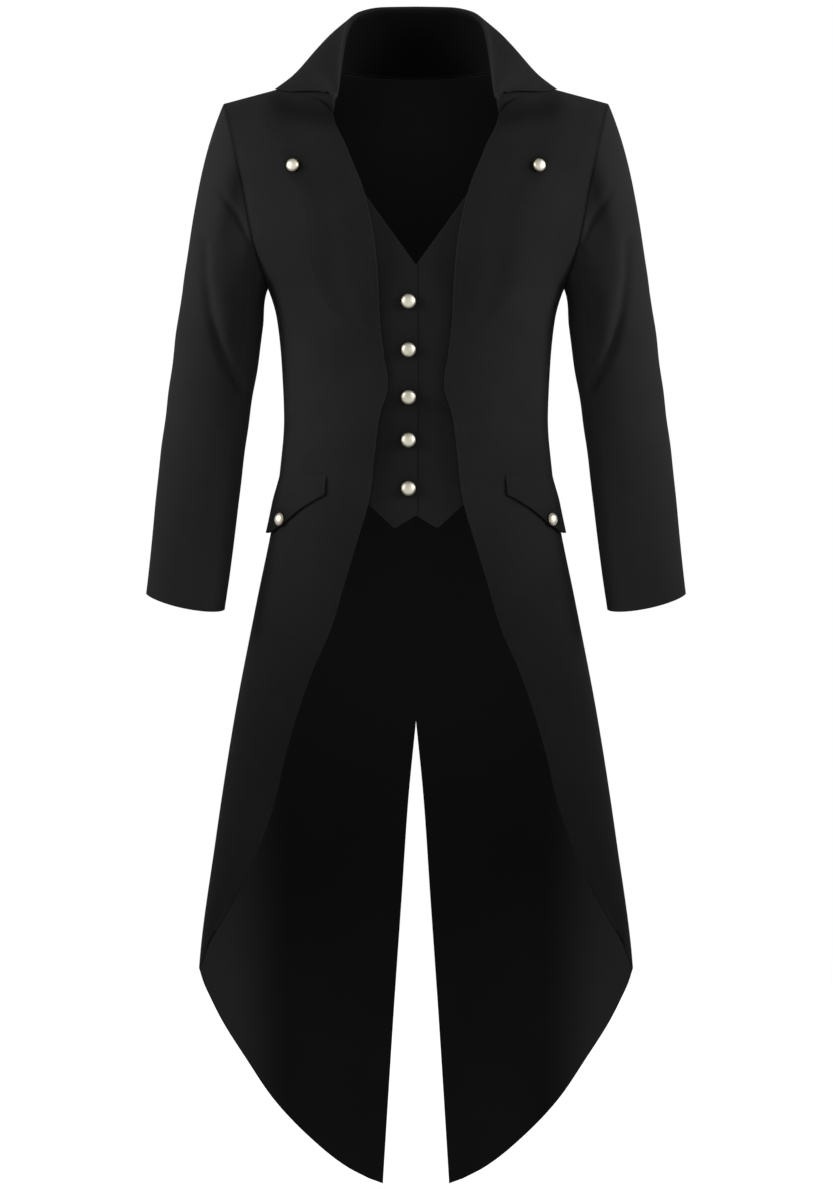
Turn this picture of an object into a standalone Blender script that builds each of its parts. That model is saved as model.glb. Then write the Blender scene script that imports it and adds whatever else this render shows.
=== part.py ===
# A long tailcoat with a waistcoat front sewn inside it, filled out as if worn, with nobody in it.
# Metres, +Z up. The front faces -Y, and +X is on the right of someone who looks at the front.
# The origin lies between the shoulder points, where the coat rests on its wearer.
# Every shape is worked out for one half, with x counted outwards from the centre, and mirrored.

import math

import bpy
import numpy as np

# Cloth walls and the gaps between them
COAT_WALL = 0.0018
SLEEVE_WALL = 0.0016
COLLAR_WALL = 0.0024
LAPEL_WALL = 0.0016
WAISTCOAT_WALL = 0.0015
FLAP_WALL = 0.0018
SEAM_GAP = 0.0003
SLEEVE_SEAM_GAP = 0.0004
ARMHOLE_GAP = 0.00042
OVERLAY_GAP = 0.0008

# Grid sizes, in cells
ARMHOLE_CELLS = 12
FRONT_CELLS_ACROSS = 11
BACK_CELLS_ACROSS = 9
SKIRT_FRONT_CELLS = 20
SKIRT_BACK_CELLS = 26
CAP_CELLS = 6
ARM_CELLS = 11
UNDER_SLEEVE_FROM = 8
COLLAR_CELLS_AROUND = 28
LAPEL_CELLS_ACROSS = 8
LAPEL_CELLS_DOWN = 16
WAISTCOAT_CELLS_ACROSS = 9
WAISTCOAT_CELLS_DOWN = 12
FLAP_CELLS_AROUND = 14
FLAP_CELLS_DOWN = 4
BUTTON_SIDES = 12

# Shoulder, neck and armhole
SHOULDER_POINT_X = 0.2310
SHOULDER_POINT_Z = -0.0045
NECK_POINT_X = 0.092
NECK_POINT_Z = 0.033
BACK_NECK_Z = 0.027
UNDERARM_Z = -0.227
SHOULDER_ROUND = 0.090
SHOULDER_SLOPE = (NECK_POINT_Z - SHOULDER_POINT_Z) / (SHOULDER_POINT_X - NECK_POINT_X)

# Skirt and tails
SIDE_CORNER_Z = -1.0416
VENT_TOP_Z = -0.746
TAIL_TIP_Z = -1.302

# Waistcoat
WAISTCOAT_LAP_EDGE = 0.0012
WAISTCOAT_UNDERLAP = 0.024
WAISTCOAT_SIDE = 0.098
WAISTCOAT_V_BOTTOM_Z = -0.1985
WAISTCOAT_V_SLOPE = 1.38
WAISTCOAT_FLAT = 0.030
WAISTCOAT_LAP_FROM = 0.004
WAISTCOAT_LAP_TO = 0.040

# Hip flaps
FLAP_TOP_Z = -0.443
FLAP_FRONT_X = 0.1062
FLAP_BACK_ANGLE = 118.0
FLAP_LIFT = 0.0035

# Buttons
BUTTON_GAP = 0.0003
SHANK_RADIUS = 0.0034
SHANK_HEIGHT = 0.0016
BACK_HEIGHT = 0.0018
BACK_SHARE = 0.94
RIM_HEIGHT = 0.0028
DOME_SHARE = 0.46
DOME_FOOT_SHARE = 0.97
DOME_TURNS = (25.0, 50.0, 72.0)
WAISTCOAT_BUTTON_RADIUS = 0.0086
WAISTCOAT_BUTTON_X = -0.0090
WAISTCOAT_BUTTON_HEIGHTS = (-0.2420, -0.3000, -0.3566, -0.4084, -0.4664)
SMALL_BUTTON_RADIUS = 0.0076
LAPEL_BUTTON_X = 0.1468
LAPEL_BUTTON_Z = -0.0796
FLAP_BUTTON_X = 0.1650
FLAP_BUTTON_Z = -0.5040

COLOURS = {
    "coat_cloth": ((0.0125, 0.0125, 0.0130), 0.92, 0.0),
    "waistcoat_cloth": ((0.0110, 0.0110, 0.0115), 0.90, 0.0),
    "button_brass": ((0.52, 0.47, 0.34), 0.30, 1.0),
}


def table(columns, rows):
    values = np.array(rows, dtype=float)
    return {name: values[:, index] for index, name in enumerate(columns.split())}


# Body sections, top to bottom: half width at the side seam (above the underarm, the width that the
# section would have with no armhole), how far the front and the back stand off the side seam, and the
# power of the section's curve: 2 is an ellipse, more is squarer.
BODY = table("height half_width front back power", (
    (0.0600, 0.2860, 0.0860, 0.0940, 2.40),
    (-0.0084, 0.2800, 0.0900, 0.1060, 2.40),
    (-0.0480, 0.2620, 0.1000, 0.1150, 2.40),
    (-0.1020, 0.2294, 0.1170, 0.1230, 2.40),
    (-0.1620, 0.2138, 0.1250, 0.1240, 2.40),
    (-0.2050, 0.1906, 0.1270, 0.1220, 2.40),
    (-0.2270, 0.1776, 0.1265, 0.1200, 2.40),
    (-0.2640, 0.1668, 0.1245, 0.1150, 2.40),
    (-0.3240, 0.1608, 0.1180, 0.1040, 2.40),
    (-0.3840, 0.1584, 0.1120, 0.0980, 2.40),
    (-0.4440, 0.1632, 0.1130, 0.1040, 2.40),
    (-0.5040, 0.1716, 0.1180, 0.1200, 2.35),
    (-0.6000, 0.1908, 0.1260, 0.1360, 2.25),
    (-0.7440, 0.2184, 0.1380, 0.1480, 2.10),
    (-0.8880, 0.2406, 0.1480, 0.1560, 1.95),
    (-1.0416, 0.2604, 0.1540, 0.1620, 1.80),
    (-1.3100, 0.2720, 0.1560, 0.1660, 1.75),
))

# The armhole seam seen from the front.
ARMHOLE = table("height x", (
    (SHOULDER_POINT_Z, SHOULDER_POINT_X),
    (-0.0480, 0.2206),
    (-0.1020, 0.2082),
    (-0.1620, 0.1972),
    (-0.1940, 0.1890),
    (UNDERARM_Z, 0.1776),
))

# The coat's front edge: neck seam, edge of the turned-back revers, waist, cutaway.
FRONT_EDGE = table("height x", (
    (NECK_POINT_Z, NECK_POINT_X),
    (0.0120, 0.0965),
    (-0.0144, 0.0984),
    (-0.0550, 0.0840),
    (-0.1090, 0.0630),
    (-0.1460, 0.0540),
    (-0.1980, 0.0470),
    (-0.2640, 0.0428),
    (-0.3420, 0.0338),
    (-0.3860, 0.0450),
    (-0.4220, 0.0492),
    (-0.4740, 0.0552),
    (-0.5380, 0.0732),
    (-0.5780, 0.0852),
    (-0.6340, 0.1020),
    (-0.6840, 0.1236),
    (-0.7380, 0.1428),
    (-0.7930, 0.1584),
    (-0.8400, 0.1692),
    (-0.8880, 0.1850),
    (-0.9500, 0.2125),
    (-1.0050, 0.2460),
))

# A row of the front panel starts at one height on the side and ends at another on the front edge.
FRONT_ROW_ENDS = table("side edge", (
    (SHOULDER_POINT_Z, NECK_POINT_Z),
    (UNDERARM_Z, UNDERARM_Z),
    (-0.8800, -0.8800),
    (SIDE_CORNER_Z, -1.0050),
))

# Below the side corner the back panel ends in the slanting hem of the tail.
TAIL_HEM = table("height x", (
    (SIDE_CORNER_Z, 0.2604),
    (-1.0560, 0.2564),
    (-1.0800, 0.2460),
    (-1.1040, 0.2340),
    (-1.1520, 0.2040),
    (-1.2000, 0.1716),
    (-1.2480, 0.1260),
    (-1.2840, 0.0800),
    (-1.2960, 0.0560),
))

# The vent parts from its top down to the two tips.
VENT_EDGE = table("height x", (
    (-0.7460, 0.00015),
    (-0.8400, 0.0092),
    (-0.9600, 0.0174),
    (-1.0800, 0.0258),
    (-1.2000, 0.0336),
    (-1.3020, 0.0400),
))

# Sleeve sections below the cap: centre, half width, half depth, and the tilt of the section's plane.
ARM = table("height x y half_width half_depth tilt", (
    (-0.2520, 0.2320, 0.0000, 0.0530, 0.0620, 25.0),
    (-0.3000, 0.2388, 0.0010, 0.0515, 0.0600, 14.0),
    (-0.3600, 0.2474, 0.0010, 0.0506, 0.0580, 9.0),
    (-0.4320, 0.2568, -0.0040, 0.0500, 0.0545, 8.0),
    (-0.5040, 0.2650, -0.0120, 0.0494, 0.0510, 8.5),
    (-0.5600, 0.2712, -0.0200, 0.0490, 0.0480, 10.0),
    (-0.6024, 0.2766, -0.0270, 0.0484, 0.0460, 11.4),
))
CUFF_DIP = 0.0080
CUFF_DIP_POWER = 1.3
CAP_START = (0.38, 0.0, -0.92)
ARM_DIRECTION = (0.125, 0.0, -0.992)
FOLD_FACING = (0.05, 0.5)

# The largest sleeve folds, as soft troughs on the front of the sleeve.
SLEEVE_FOLDS = (
    {"route": ((0.240, -0.102), (0.219, -0.136), (0.190, -0.176)), "depth": 0.0045, "width": 0.011},
    {"route": ((0.2556, -0.132), (0.2532, -0.184), (0.2472, -0.244), (0.2340, -0.290), (0.2148, -0.329),
               (0.2050, -0.347)), "depth": 0.0050, "width": 0.012},
)

# Collar, centre back to front end. The neck seam and the fall's edge lie on the body: side is 1 on
# the back, -1 on the front. The fold line stands free between them.
COLLAR = table("step side neck_x neck_z fold_x fold_y fold_z edge_x edge_z", (
    (0.00, 1, 0.0000, 0.0270, 0.0000, 0.0820, 0.1120, 0.0000, 0.0020),
    (0.16, 1, 0.0400, 0.0285, 0.0400, 0.0760, 0.1112, 0.0560, 0.0030),
    (0.30, 1, 0.0690, 0.0308, 0.0660, 0.0580, 0.1060, 0.1120, 0.0060),
    (0.42, 1, 0.0860, 0.0332, 0.0815, 0.0340, 0.0930, 0.1520, 0.0120),
    (0.54, 0, 0.0920, 0.0338, 0.0878, 0.0040, 0.0730, 0.1690, 0.0118),
    (0.68, -1, 0.0935, 0.0275, 0.0912, -0.0260, 0.0490, 0.1480, 0.0080),
    (0.84, -1, 0.0964, 0.0125, 0.0938, -0.0550, 0.0255, 0.1250, 0.0070),
    (1.00, -1, 0.0984, -0.0090, 0.0958, -0.0790, 0.0045, 0.1050, 0.0060),
))
COLLAR_FOOT_LIFT = 0.0011
COLLAR_EDGE_LIFT = 0.0050
COLLAR_FOLD_RADIUS = 0.0026
COLLAR_EDGE_LEAN = (0.88, 5.0, 0.9)
COLLAR_FRONT_FROM = 0.55
STAND_SHARES = (0.0, 0.35, 0.7)
FOLD_TURNS = (180.0, 120.0, 60.0, 10.0)
FALL_SHARES = (0.3, 0.65, 1.0)

# Lapel: the outer edge of the revers.
LAPEL_EDGE = table("height x", (
    (0.0020, 0.1795),
    (-0.0050, 0.1828),
    (-0.0220, 0.1790),
    (-0.0480, 0.1694),
    (-0.0720, 0.1590),
    (-0.0840, 0.1560),
    (-0.0940, 0.1495),
    (-0.1080, 0.1385),
    (-0.1300, 0.1330),
    (-0.1560, 0.1308),
    (-0.2040, 0.1240),
    (-0.2400, 0.1110),
    (-0.2700, 0.0880),
    (-0.2900, 0.0640),
    (-0.3000, 0.0500),
))
LAPEL_ROW_ENDS = table("outer inner", (
    (0.0020, -0.0180),
    (-0.0760, -0.0850),
    (-0.1500, -0.1500),
    (-0.3000, -0.3000),
))
LAPEL_ROW_POWER = 1.3
# The top of the lapel rises under the collar.
LAPEL_TUCK = 0.0115
LAPEL_TUCK_REACH = 0.050
# The lapel rolls away from the chest towards its fold.
LAPEL_ROLL = 0.0030
LAPEL_ROLL_FROM = 0.35
LAPEL_ROLL_TO = 0.85

# How far the waistcoat lies behind the coat's inner face at the centre.
WAISTCOAT_DIP = table("height depth", (
    (-0.1000, 0.0090),
    (-0.2000, 0.0065),
    (-0.2500, 0.0025),
    (-0.3400, 0.0020),
    (-0.4000, 0.0060),
    (-0.5200, 0.0085),
))

# Waistcoat hem, outwards from the centre: a notch, a point, then up under the coat's edge.
WAISTCOAT_HEM = table("x height", (
    (0.0000, -0.4990),
    (0.0258, -0.5146),
    (0.0570, -0.4860),
    (0.0980, -0.4700),
))

# The flap's lower edge, by the angle round the hip: 90 is the side seam.
FLAP_HEM = table("angle height", (
    (30.0, -0.4660),
    (62.0, -0.4960),
    (86.0, -0.5200),
    (94.0, -0.5200),
    (118.0, -0.5060),
))


# Curve through a table's rows that never swings past them, at one value or many.
def through(at, known, values):
    order = np.argsort(known)
    x = np.asarray(known, dtype=float)[order]
    y = np.asarray(values, dtype=float)[order]
    step = np.diff(x)
    rise = np.diff(y) / step
    slope = np.empty_like(y)
    slope[0] = rise[0]
    slope[-1] = rise[-1]
    same_way = rise[:-1] * rise[1:] > 0
    before = 2 * step[1:] + step[:-1]
    after = step[1:] + 2 * step[:-1]
    safe_left = np.where(same_way, rise[:-1], 1.0)
    safe_right = np.where(same_way, rise[1:], 1.0)
    mean = (before + after) / (before / safe_left + after / safe_right)
    slope[1:-1] = np.where(same_way, mean, 0.0)
    q = np.clip(np.asarray(at, dtype=float), x[0], x[-1])
    cell = np.clip(np.searchsorted(x, q, side="right") - 1, 0, len(step) - 1)
    t = (q - x[cell]) / step[cell]
    start = y[cell] * (2 * t**3 - 3 * t**2 + 1) + slope[cell] * step[cell] * (t**3 - 2 * t**2 + t)
    end = y[cell + 1] * (3 * t**2 - 2 * t**3) + slope[cell + 1] * step[cell] * (t**3 - t**2)
    return start + end


def smooth_step(value, low, high):
    t = np.clip((np.asarray(value, dtype=float) - low) / (high - low), 0.0, 1.0)
    return t * t * (3 - 2 * t)


def shoulder_line(x):
    return NECK_POINT_Z - SHOULDER_SLOPE * (np.asarray(x) - NECK_POINT_X)


# How far the body stands in front of (side "front") or behind the side seam, x outwards from the centre.
def body_depth(x, z, side):
    half = through(z, BODY["height"], BODY["half_width"])
    depth = through(z, BODY["height"], BODY[side])
    power = through(z, BODY["height"], BODY["power"])
    across = 1 - np.clip(np.abs(x) / half, 0.0, 1.0) ** power
    below_shoulder = np.clip((shoulder_line(np.abs(x)) - z) / SHOULDER_ROUND, 0.0, 1.0)
    over_shoulder = np.sqrt(1 - (1 - below_shoulder) ** 2)
    return depth * np.maximum(across, 0.0) ** (1 / power) * over_shoulder


def front_point(x, z):
    x, z = np.broadcast_arrays(np.asarray(x, dtype=float), np.asarray(z, dtype=float))
    return np.stack([x, -SEAM_GAP / 2 - body_depth(x, z, "front"), z], axis=-1)


def back_point(x, z):
    x, z = np.broadcast_arrays(np.asarray(x, dtype=float), np.asarray(z, dtype=float))
    return np.stack([x, SEAM_GAP / 2 + body_depth(x, z, "back"), z], axis=-1)


# A point below the underarm by its angle round the body: 0 centre front, 90 side seam, 180 centre back.
def ring_point(angle, z):
    turn = np.radians(angle)
    half = through(z, BODY["height"], BODY["half_width"])
    front = through(z, BODY["height"], BODY["front"])
    back = through(z, BODY["height"], BODY["back"])
    power = through(z, BODY["height"], BODY["power"])
    x = half * np.abs(np.sin(turn)) ** (2 / power)
    reach = np.abs(np.cos(turn)) ** (2 / power)
    y = np.where(np.cos(turn) > 0, -front * reach, back * reach)
    return np.stack([x, y, z + 0 * x], axis=-1)


# Angle round the section, from the centre, at which it reaches x.
def section_angle(x, z):
    half = through(z, BODY["height"], BODY["half_width"])
    power = through(z, BODY["height"], BODY["power"])
    return np.arcsin(np.clip(x / half, 0.0, 1.0) ** (power / 2))


def armhole_heights():
    turn = np.linspace(0.0, math.pi, ARMHOLE_CELLS + 1)
    return SHOULDER_POINT_Z + (UNDERARM_Z - SHOULDER_POINT_Z) * (1 - np.cos(turn)) / 2


# Columns of one row: x from the side to the inner edge, evenly spaced round the section.
def row_columns(side_x, side_z, edge_x, edge_z, cells):
    turn = np.linspace(section_angle(side_x, side_z), section_angle(edge_x, edge_z), cells + 1)
    z = np.linspace(side_z, edge_z, cells + 1)
    half = through(z, BODY["height"], BODY["half_width"])
    power = through(z, BODY["height"], BODY["power"])
    x = half * np.sin(turn) ** (2 / power)
    x[0] = side_x
    x[-1] = edge_x
    return x


def front_grid():
    heights = list(armhole_heights())
    heights += list(np.linspace(UNDERARM_Z, SIDE_CORNER_Z, SKIRT_FRONT_CELLS + 1)[1:])
    rows = []
    for side_z in heights:
        if side_z > UNDERARM_Z:
            side_x = float(through(side_z, ARMHOLE["height"], ARMHOLE["x"]))
            share = (side_z - SHOULDER_POINT_Z) / (UNDERARM_Z - SHOULDER_POINT_Z)
            edge_z = NECK_POINT_Z + share * (UNDERARM_Z - NECK_POINT_Z)
        else:
            side_x = float(through(side_z, BODY["height"], BODY["half_width"]))
            edge_z = float(through(side_z, FRONT_ROW_ENDS["side"], FRONT_ROW_ENDS["edge"]))
        edge_x = float(through(edge_z, FRONT_EDGE["height"], FRONT_EDGE["x"]))
        x = row_columns(side_x, side_z, edge_x, edge_z, FRONT_CELLS_ACROSS)
        z = side_z + (edge_z - side_z) * (side_x - x) / (side_x - edge_x)
        rows.append(front_point(x, z))
    return np.array(rows)


# Height of the back panel's top edge: the shoulder seam, then the back neck.
def back_top(x):
    share = np.clip(np.asarray(x) / NECK_POINT_X, 0.0, 1.0)
    neck = BACK_NECK_Z + (NECK_POINT_Z - BACK_NECK_Z) * share**2
    return np.where(np.asarray(x) < NECK_POINT_X, neck, shoulder_line(x))


def back_grid():
    heights = list(armhole_heights())
    upper = len(heights)
    side_heights = np.linspace(UNDERARM_Z, TAIL_HEM["height"].min(), SKIRT_BACK_CELLS + 1)[1:]
    nearest = int(np.argmin(np.abs(side_heights - SIDE_CORNER_Z)))
    side_heights[nearest] = SIDE_CORNER_Z
    heights += list(side_heights)
    rows = []
    for index, side_z in enumerate(heights):
        if index < upper:
            side_x = float(through(side_z, ARMHOLE["height"], ARMHOLE["x"]))
            share = (side_z - SHOULDER_POINT_Z) / (UNDERARM_Z - SHOULDER_POINT_Z)
            x = row_columns(side_x, side_z, SEAM_GAP / 2, side_z, BACK_CELLS_ACROSS)
            z = back_top(x) + share * (UNDERARM_Z - back_top(x))
            z[0] = side_z
        else:
            if side_z >= SIDE_CORNER_Z:
                side_x = float(through(side_z, BODY["height"], BODY["half_width"]))
            else:
                side_x = float(through(side_z, TAIL_HEM["height"], TAIL_HEM["x"]))
            drop = smooth_step(side_z, SIDE_CORNER_Z, TAIL_HEM["height"].min())
            edge_z = side_z + (TAIL_TIP_Z - TAIL_HEM["height"].min()) * drop
            if edge_z > VENT_TOP_Z:
                edge_x = SEAM_GAP / 2
            else:
                edge_x = float(through(edge_z, VENT_EDGE["height"], VENT_EDGE["x"]))
            x = row_columns(side_x, side_z, edge_x, edge_z, BACK_CELLS_ACROSS)
            z = side_z + (edge_z - side_z) * (side_x - x) / (side_x - edge_x)
        rows.append(back_point(x, z))
    return np.array(rows)


# Unit normals of a grid of points, rows first, by differences along both ways.
def grid_normals(points):
    across = np.gradient(points, axis=1)
    along = np.gradient(points, axis=0)
    normal = np.cross(across, along)
    length = np.linalg.norm(normal, axis=2, keepdims=True)
    return normal / np.maximum(length, 1e-12)


# Turn the normals of a grid so that they point away from a place inside the garment.
def outward_normals(points, inside):
    normal = grid_normals(points)
    if np.sum(normal * (points - np.asarray(inside))) < 0:
        normal = -normal
    return normal


# Keep an offset from crossing the seam that faces the direction across.
def keep_off_seam(offset, across, thickness):
    crossing = np.maximum(np.sum(offset * across, axis=-1, keepdims=True), 0.0)
    kept = offset - crossing * across
    length = np.linalg.norm(kept, axis=-1, keepdims=True)
    return kept / np.maximum(length, 1e-9) * thickness


# A closed cloth wall between two matching grids of points, on one or both halves.
def cloth_wall(name, outer, inner, material, mirrored):
    if mirrored:
        outer = outer * np.array([-1.0, 1.0, 1.0])
        inner = inner * np.array([-1.0, 1.0, 1.0])
    rows, columns = outer.shape[:2]
    points = np.concatenate([outer.reshape(-1, 3), inner.reshape(-1, 3)])
    base = rows * columns
    faces = []
    for row in range(rows - 1):
        for column in range(columns - 1):
            a = row * columns + column
            b = a + 1
            c = a + columns + 1
            d = a + columns
            faces.append((a, b, c, d))
            faces.append((base + d, base + c, base + b, base + a))
    rim = list(range(columns))
    rim += [row * columns + columns - 1 for row in range(1, rows)]
    rim += [(rows - 1) * columns + column for column in range(columns - 2, -1, -1)]
    rim += [row * columns for row in range(rows - 2, 0, -1)]
    for first, second in zip(rim, rim[1:] + rim[:1]):
        faces.append((second, first, base + first, base + second))
    return add_solid(name, points, faces, material)


def signed_volume(points, faces):
    total = 0.0
    for face in faces:
        for second, third in zip(face[1:-1], face[2:]):
            total += float(np.dot(points[face[0]], np.cross(points[second], points[third])))
    return total / 6


def add_solid(name, points, faces, material):
    if signed_volume(points, faces) < 0:
        faces = [tuple(reversed(face)) for face in faces]
    mesh = bpy.data.meshes.new(name)
    mesh.from_pydata([tuple(point) for point in points], [], faces)
    mesh.shade_smooth()
    mesh.set_sharp_from_angle(angle=math.radians(40))
    mesh.materials.append(material)
    piece = bpy.data.objects.new(name, mesh)
    bpy.context.scene.collection.objects.link(piece)
    return piece


def make_material(name):
    colour, roughness, metallic = COLOURS[name]
    material = bpy.data.materials.new(name)
    material.use_nodes = True
    shader = material.node_tree.nodes["Principled BSDF"]
    shader.inputs["Base Color"].default_value = (*colour, 1.0)
    shader.inputs["Roughness"].default_value = roughness
    shader.inputs["Metallic"].default_value = metallic
    return material


# Direction across the armhole, from the body out into the sleeve.
def armhole_across():
    drop = UNDERARM_Z - SHOULDER_POINT_Z
    inwards = ARMHOLE["x"][-1] - SHOULDER_POINT_X
    length = math.hypot(drop, inwards)
    return np.array([-drop / length, 0.0, inwards / length])


def body_panel(name, outer, material, mirrored, seam_side):
    inside = np.array([0.0, 0.0, -0.45])
    offset = -COAT_WALL * outward_normals(outer, inside)
    towards_seam = np.array([0.0, seam_side, 0.0])
    armhole = ARMHOLE_CELLS
    offset[0] = keep_off_seam(offset[0], towards_seam, COAT_WALL)
    offset[: armhole + 1, 0] = keep_off_seam(offset[: armhole + 1, 0], armhole_across(), COAT_WALL)
    offset[armhole:, 0] = keep_off_seam(offset[armhole:, 0], towards_seam, COAT_WALL)
    offset[:, -1] = keep_off_seam(offset[:, -1], np.array([-1.0, 0.0, 0.0]), COAT_WALL)
    cloth_wall(name, outer, outer + offset, material, mirrored)


# The armhole as a ring: from the shoulder down the front to the underarm, and up the back.
def armhole_ring():
    heights = armhole_heights()
    x = through(heights, ARMHOLE["height"], ARMHOLE["x"])
    front = front_point(x, heights)
    back = back_point(x, heights)
    front[0, 1] = 0.0
    front[-1, 1] = 0.0
    return np.concatenate([front, back[-2:0:-1]])


def ring_angles(ring):
    closed = np.concatenate([ring, ring[:1]])
    length = np.linalg.norm(np.diff(closed, axis=0), axis=1)
    half = ARMHOLE_CELLS
    front = np.concatenate([[0.0], np.cumsum(length[:half])])
    back = np.concatenate([[0.0], np.cumsum(length[half:])])
    front_turn = math.pi * front / front[-1]
    back_turn = math.pi * (1 + back / back[-1])
    return np.concatenate([front_turn, back_turn[1:-1]])


# One section of the arm, at the angles given: 0 is the outer side, 90 degrees the front.
def arm_section(height, turn):
    row = {name: float(through(height, ARM["height"], ARM[name])) for name in ARM if name != "height"}
    tilt = math.radians(row["tilt"])
    outwards = row["half_width"] * np.cos(turn)
    forwards = row["half_depth"] * np.sin(turn)
    x = row["x"] + outwards * math.cos(tilt)
    y = row["y"] - forwards
    z = height + outwards * math.sin(tilt)
    near_cuff = smooth_step(height, ARM["height"][-2], ARM["height"][-1])
    z = z - CUFF_DIP * near_cuff * np.abs(np.sin(turn)) ** CUFF_DIP_POWER
    return np.stack([x, y, z], axis=-1)


# Distance from points seen from the front to a route of straight stretches.
def route_distance(x, z, route):
    nearest = np.full(np.shape(x), 1.0)
    for (x0, z0), (x1, z1) in zip(route, route[1:]):
        length2 = (x1 - x0) ** 2 + (z1 - z0) ** 2
        along = np.clip(((x - x0) * (x1 - x0) + (z - z0) * (z1 - z0)) / length2, 0.0, 1.0)
        gap = np.hypot(x - x0 - along * (x1 - x0), z - z0 - along * (z1 - z0))
        nearest = np.minimum(nearest, gap)
    return nearest


# Sleeve surface: rows down the sleeve, columns round it from the shoulder over the front.
def sleeve_grid():
    across = armhole_across()
    ring = armhole_ring()
    turn = ring_angles(ring)
    start = ring + ARMHOLE_GAP * across
    cap_end = arm_section(ARM["height"][0], turn)
    reach = np.linalg.norm(cap_end - start, axis=1, keepdims=True)
    leave = reach * np.array(CAP_START)
    arrive = reach * np.array(ARM_DIRECTION)
    rows = []
    for t in np.linspace(0.0, 1.0, CAP_CELLS + 1):
        rows.append(start * (2 * t**3 - 3 * t**2 + 1) + leave * (t**3 - 2 * t**2 + t)
                    + cap_end * (3 * t**2 - 2 * t**3) + arrive * (t**3 - t**2))
    for height in np.linspace(ARM["height"][0], ARM["height"][-1], ARM_CELLS + 1)[1:]:
        rows.append(arm_section(height, turn))
    grid = np.array(rows)
    normal = sleeve_normals(grid)
    facing_front = smooth_step(-normal[:, :, 1], *FOLD_FACING)
    facing_front[:1] = 0.0
    for fold in SLEEVE_FOLDS:
        gap = route_distance(grid[:, :, 0], grid[:, :, 2], fold["route"])
        trough = fold["depth"] * np.exp(-((gap / fold["width"]) ** 2)) * facing_front
        grid = grid - normal * trough[:, :, None]
    return grid


# Normals of the closed sleeve tube, pointing out of the tube.
def sleeve_normals(grid):
    wrapped = np.concatenate([grid[:, -1:], grid, grid[:, :1]], axis=1)
    normal = grid_normals(wrapped)[:, 1:-1]
    centre = grid.mean(axis=1, keepdims=True)
    if np.sum(normal * (grid - centre)) < 0:
        normal = -normal
    return normal


def make_sleeve(suffix, material, mirrored):
    grid = sleeve_grid()
    normal = sleeve_normals(grid)
    offset = -SLEEVE_WALL * normal
    offset[0] = keep_off_seam(offset[0], -armhole_across(), SLEEVE_WALL)
    count = grid.shape[1]
    first = UNDER_SLEEVE_FROM
    last = 2 * ARMHOLE_CELLS - UNDER_SLEEVE_FROM
    under = list(range(first, last + 1))
    upper = [index % count for index in range(last, count + first + 1)]
    for label, columns in (("upper", upper), ("under", under)):
        outer = grid[:, columns].copy()
        inner = outer + offset[:, columns]
        for edge, neighbour in ((0, 1), (-1, -2)):
            away = outer[:, neighbour] - outer[:, edge]
            away = away / np.linalg.norm(away, axis=1, keepdims=True) * SLEEVE_SEAM_GAP / 2
            outer[:, edge] += away
            inner[:, edge] += away
        cloth_wall("sleeve_" + label + "_" + suffix, outer, inner, material, mirrored)


# The collar's neck seam, fold line and edge at one step from the centre back (0) to the front end (1).
def collar_guides(step):
    row = {name: float(through(step, COLLAR["step"], COLLAR[name])) for name in COLLAR if name != "step"}
    if row["side"] >= 0:
        neck = back_point(row["neck_x"], row["neck_z"])
        edge = back_point(row["edge_x"], row["edge_z"])
    else:
        neck = front_point(row["neck_x"], row["neck_z"])
        edge = front_point(row["edge_x"], row["edge_z"])
    fold = np.array([row["fold_x"], row["fold_y"], row["fold_z"]])
    lift = np.array([COLLAR_EDGE_LEAN[0] * edge[0], COLLAR_EDGE_LEAN[1] * edge[1], COLLAR_EDGE_LEAN[2]])
    edge = edge + COLLAR_EDGE_LIFT * lift / np.linalg.norm(lift)
    return neck, fold, edge


# Middle of the collar's wall across one section: up the stand, over the fold, down the fall.
def collar_section(step):
    neck, fold, edge = collar_guides(step)
    outwards = edge - fold
    outwards[2] = 0.0
    outwards = outwards / np.linalg.norm(outwards)
    up = np.array([0.0, 0.0, 1.0])
    forwards = float(smooth_step(step, COLLAR_FRONT_FROM, 1.0))
    off_body = np.array([0.0, -forwards, 1.0 - 0.6 * forwards])
    stand_foot = neck + COLLAR_FOOT_LIFT * off_body / np.linalg.norm(off_body)
    radius = COLLAR_FOLD_RADIUS
    arch_centre = fold - radius * up
    stand_head = arch_centre - radius * outwards
    points = [stand_foot + (stand_head - stand_foot) * share for share in STAND_SHARES]
    for turn in np.radians(FOLD_TURNS):
        points.append(arch_centre + radius * (outwards * math.cos(turn) + up * math.sin(turn)))
    fall_head = points[-1]
    points += [fall_head + (edge - fall_head) * share for share in FALL_SHARES]
    return np.array(points)


def make_collar(material):
    steps = np.linspace(-1.0, 1.0, COLLAR_CELLS_AROUND + 1)
    rows = []
    for step in steps:
        section = collar_section(abs(step))
        rows.append(section * np.array([math.copysign(1.0, step), 1.0, 1.0]))
    middle = np.array(rows)
    normal = grid_normals(middle)
    outer = middle + normal * COLLAR_WALL / 2
    inner = middle - normal * COLLAR_WALL / 2
    cloth_wall("collar", outer, inner, material, False)


def front_normals(points):
    step = 0.0005
    x = points[..., 0]
    z = points[..., 2]
    slope_x = (front_point(x + step, z) - front_point(x - step, z))[..., 1] / (2 * step)
    slope_z = (front_point(x, z + step) - front_point(x, z - step))[..., 1] / (2 * step)
    normal = np.stack([slope_x, -np.ones_like(x), slope_z], axis=-1)
    return normal / np.linalg.norm(normal, axis=-1, keepdims=True)


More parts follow.
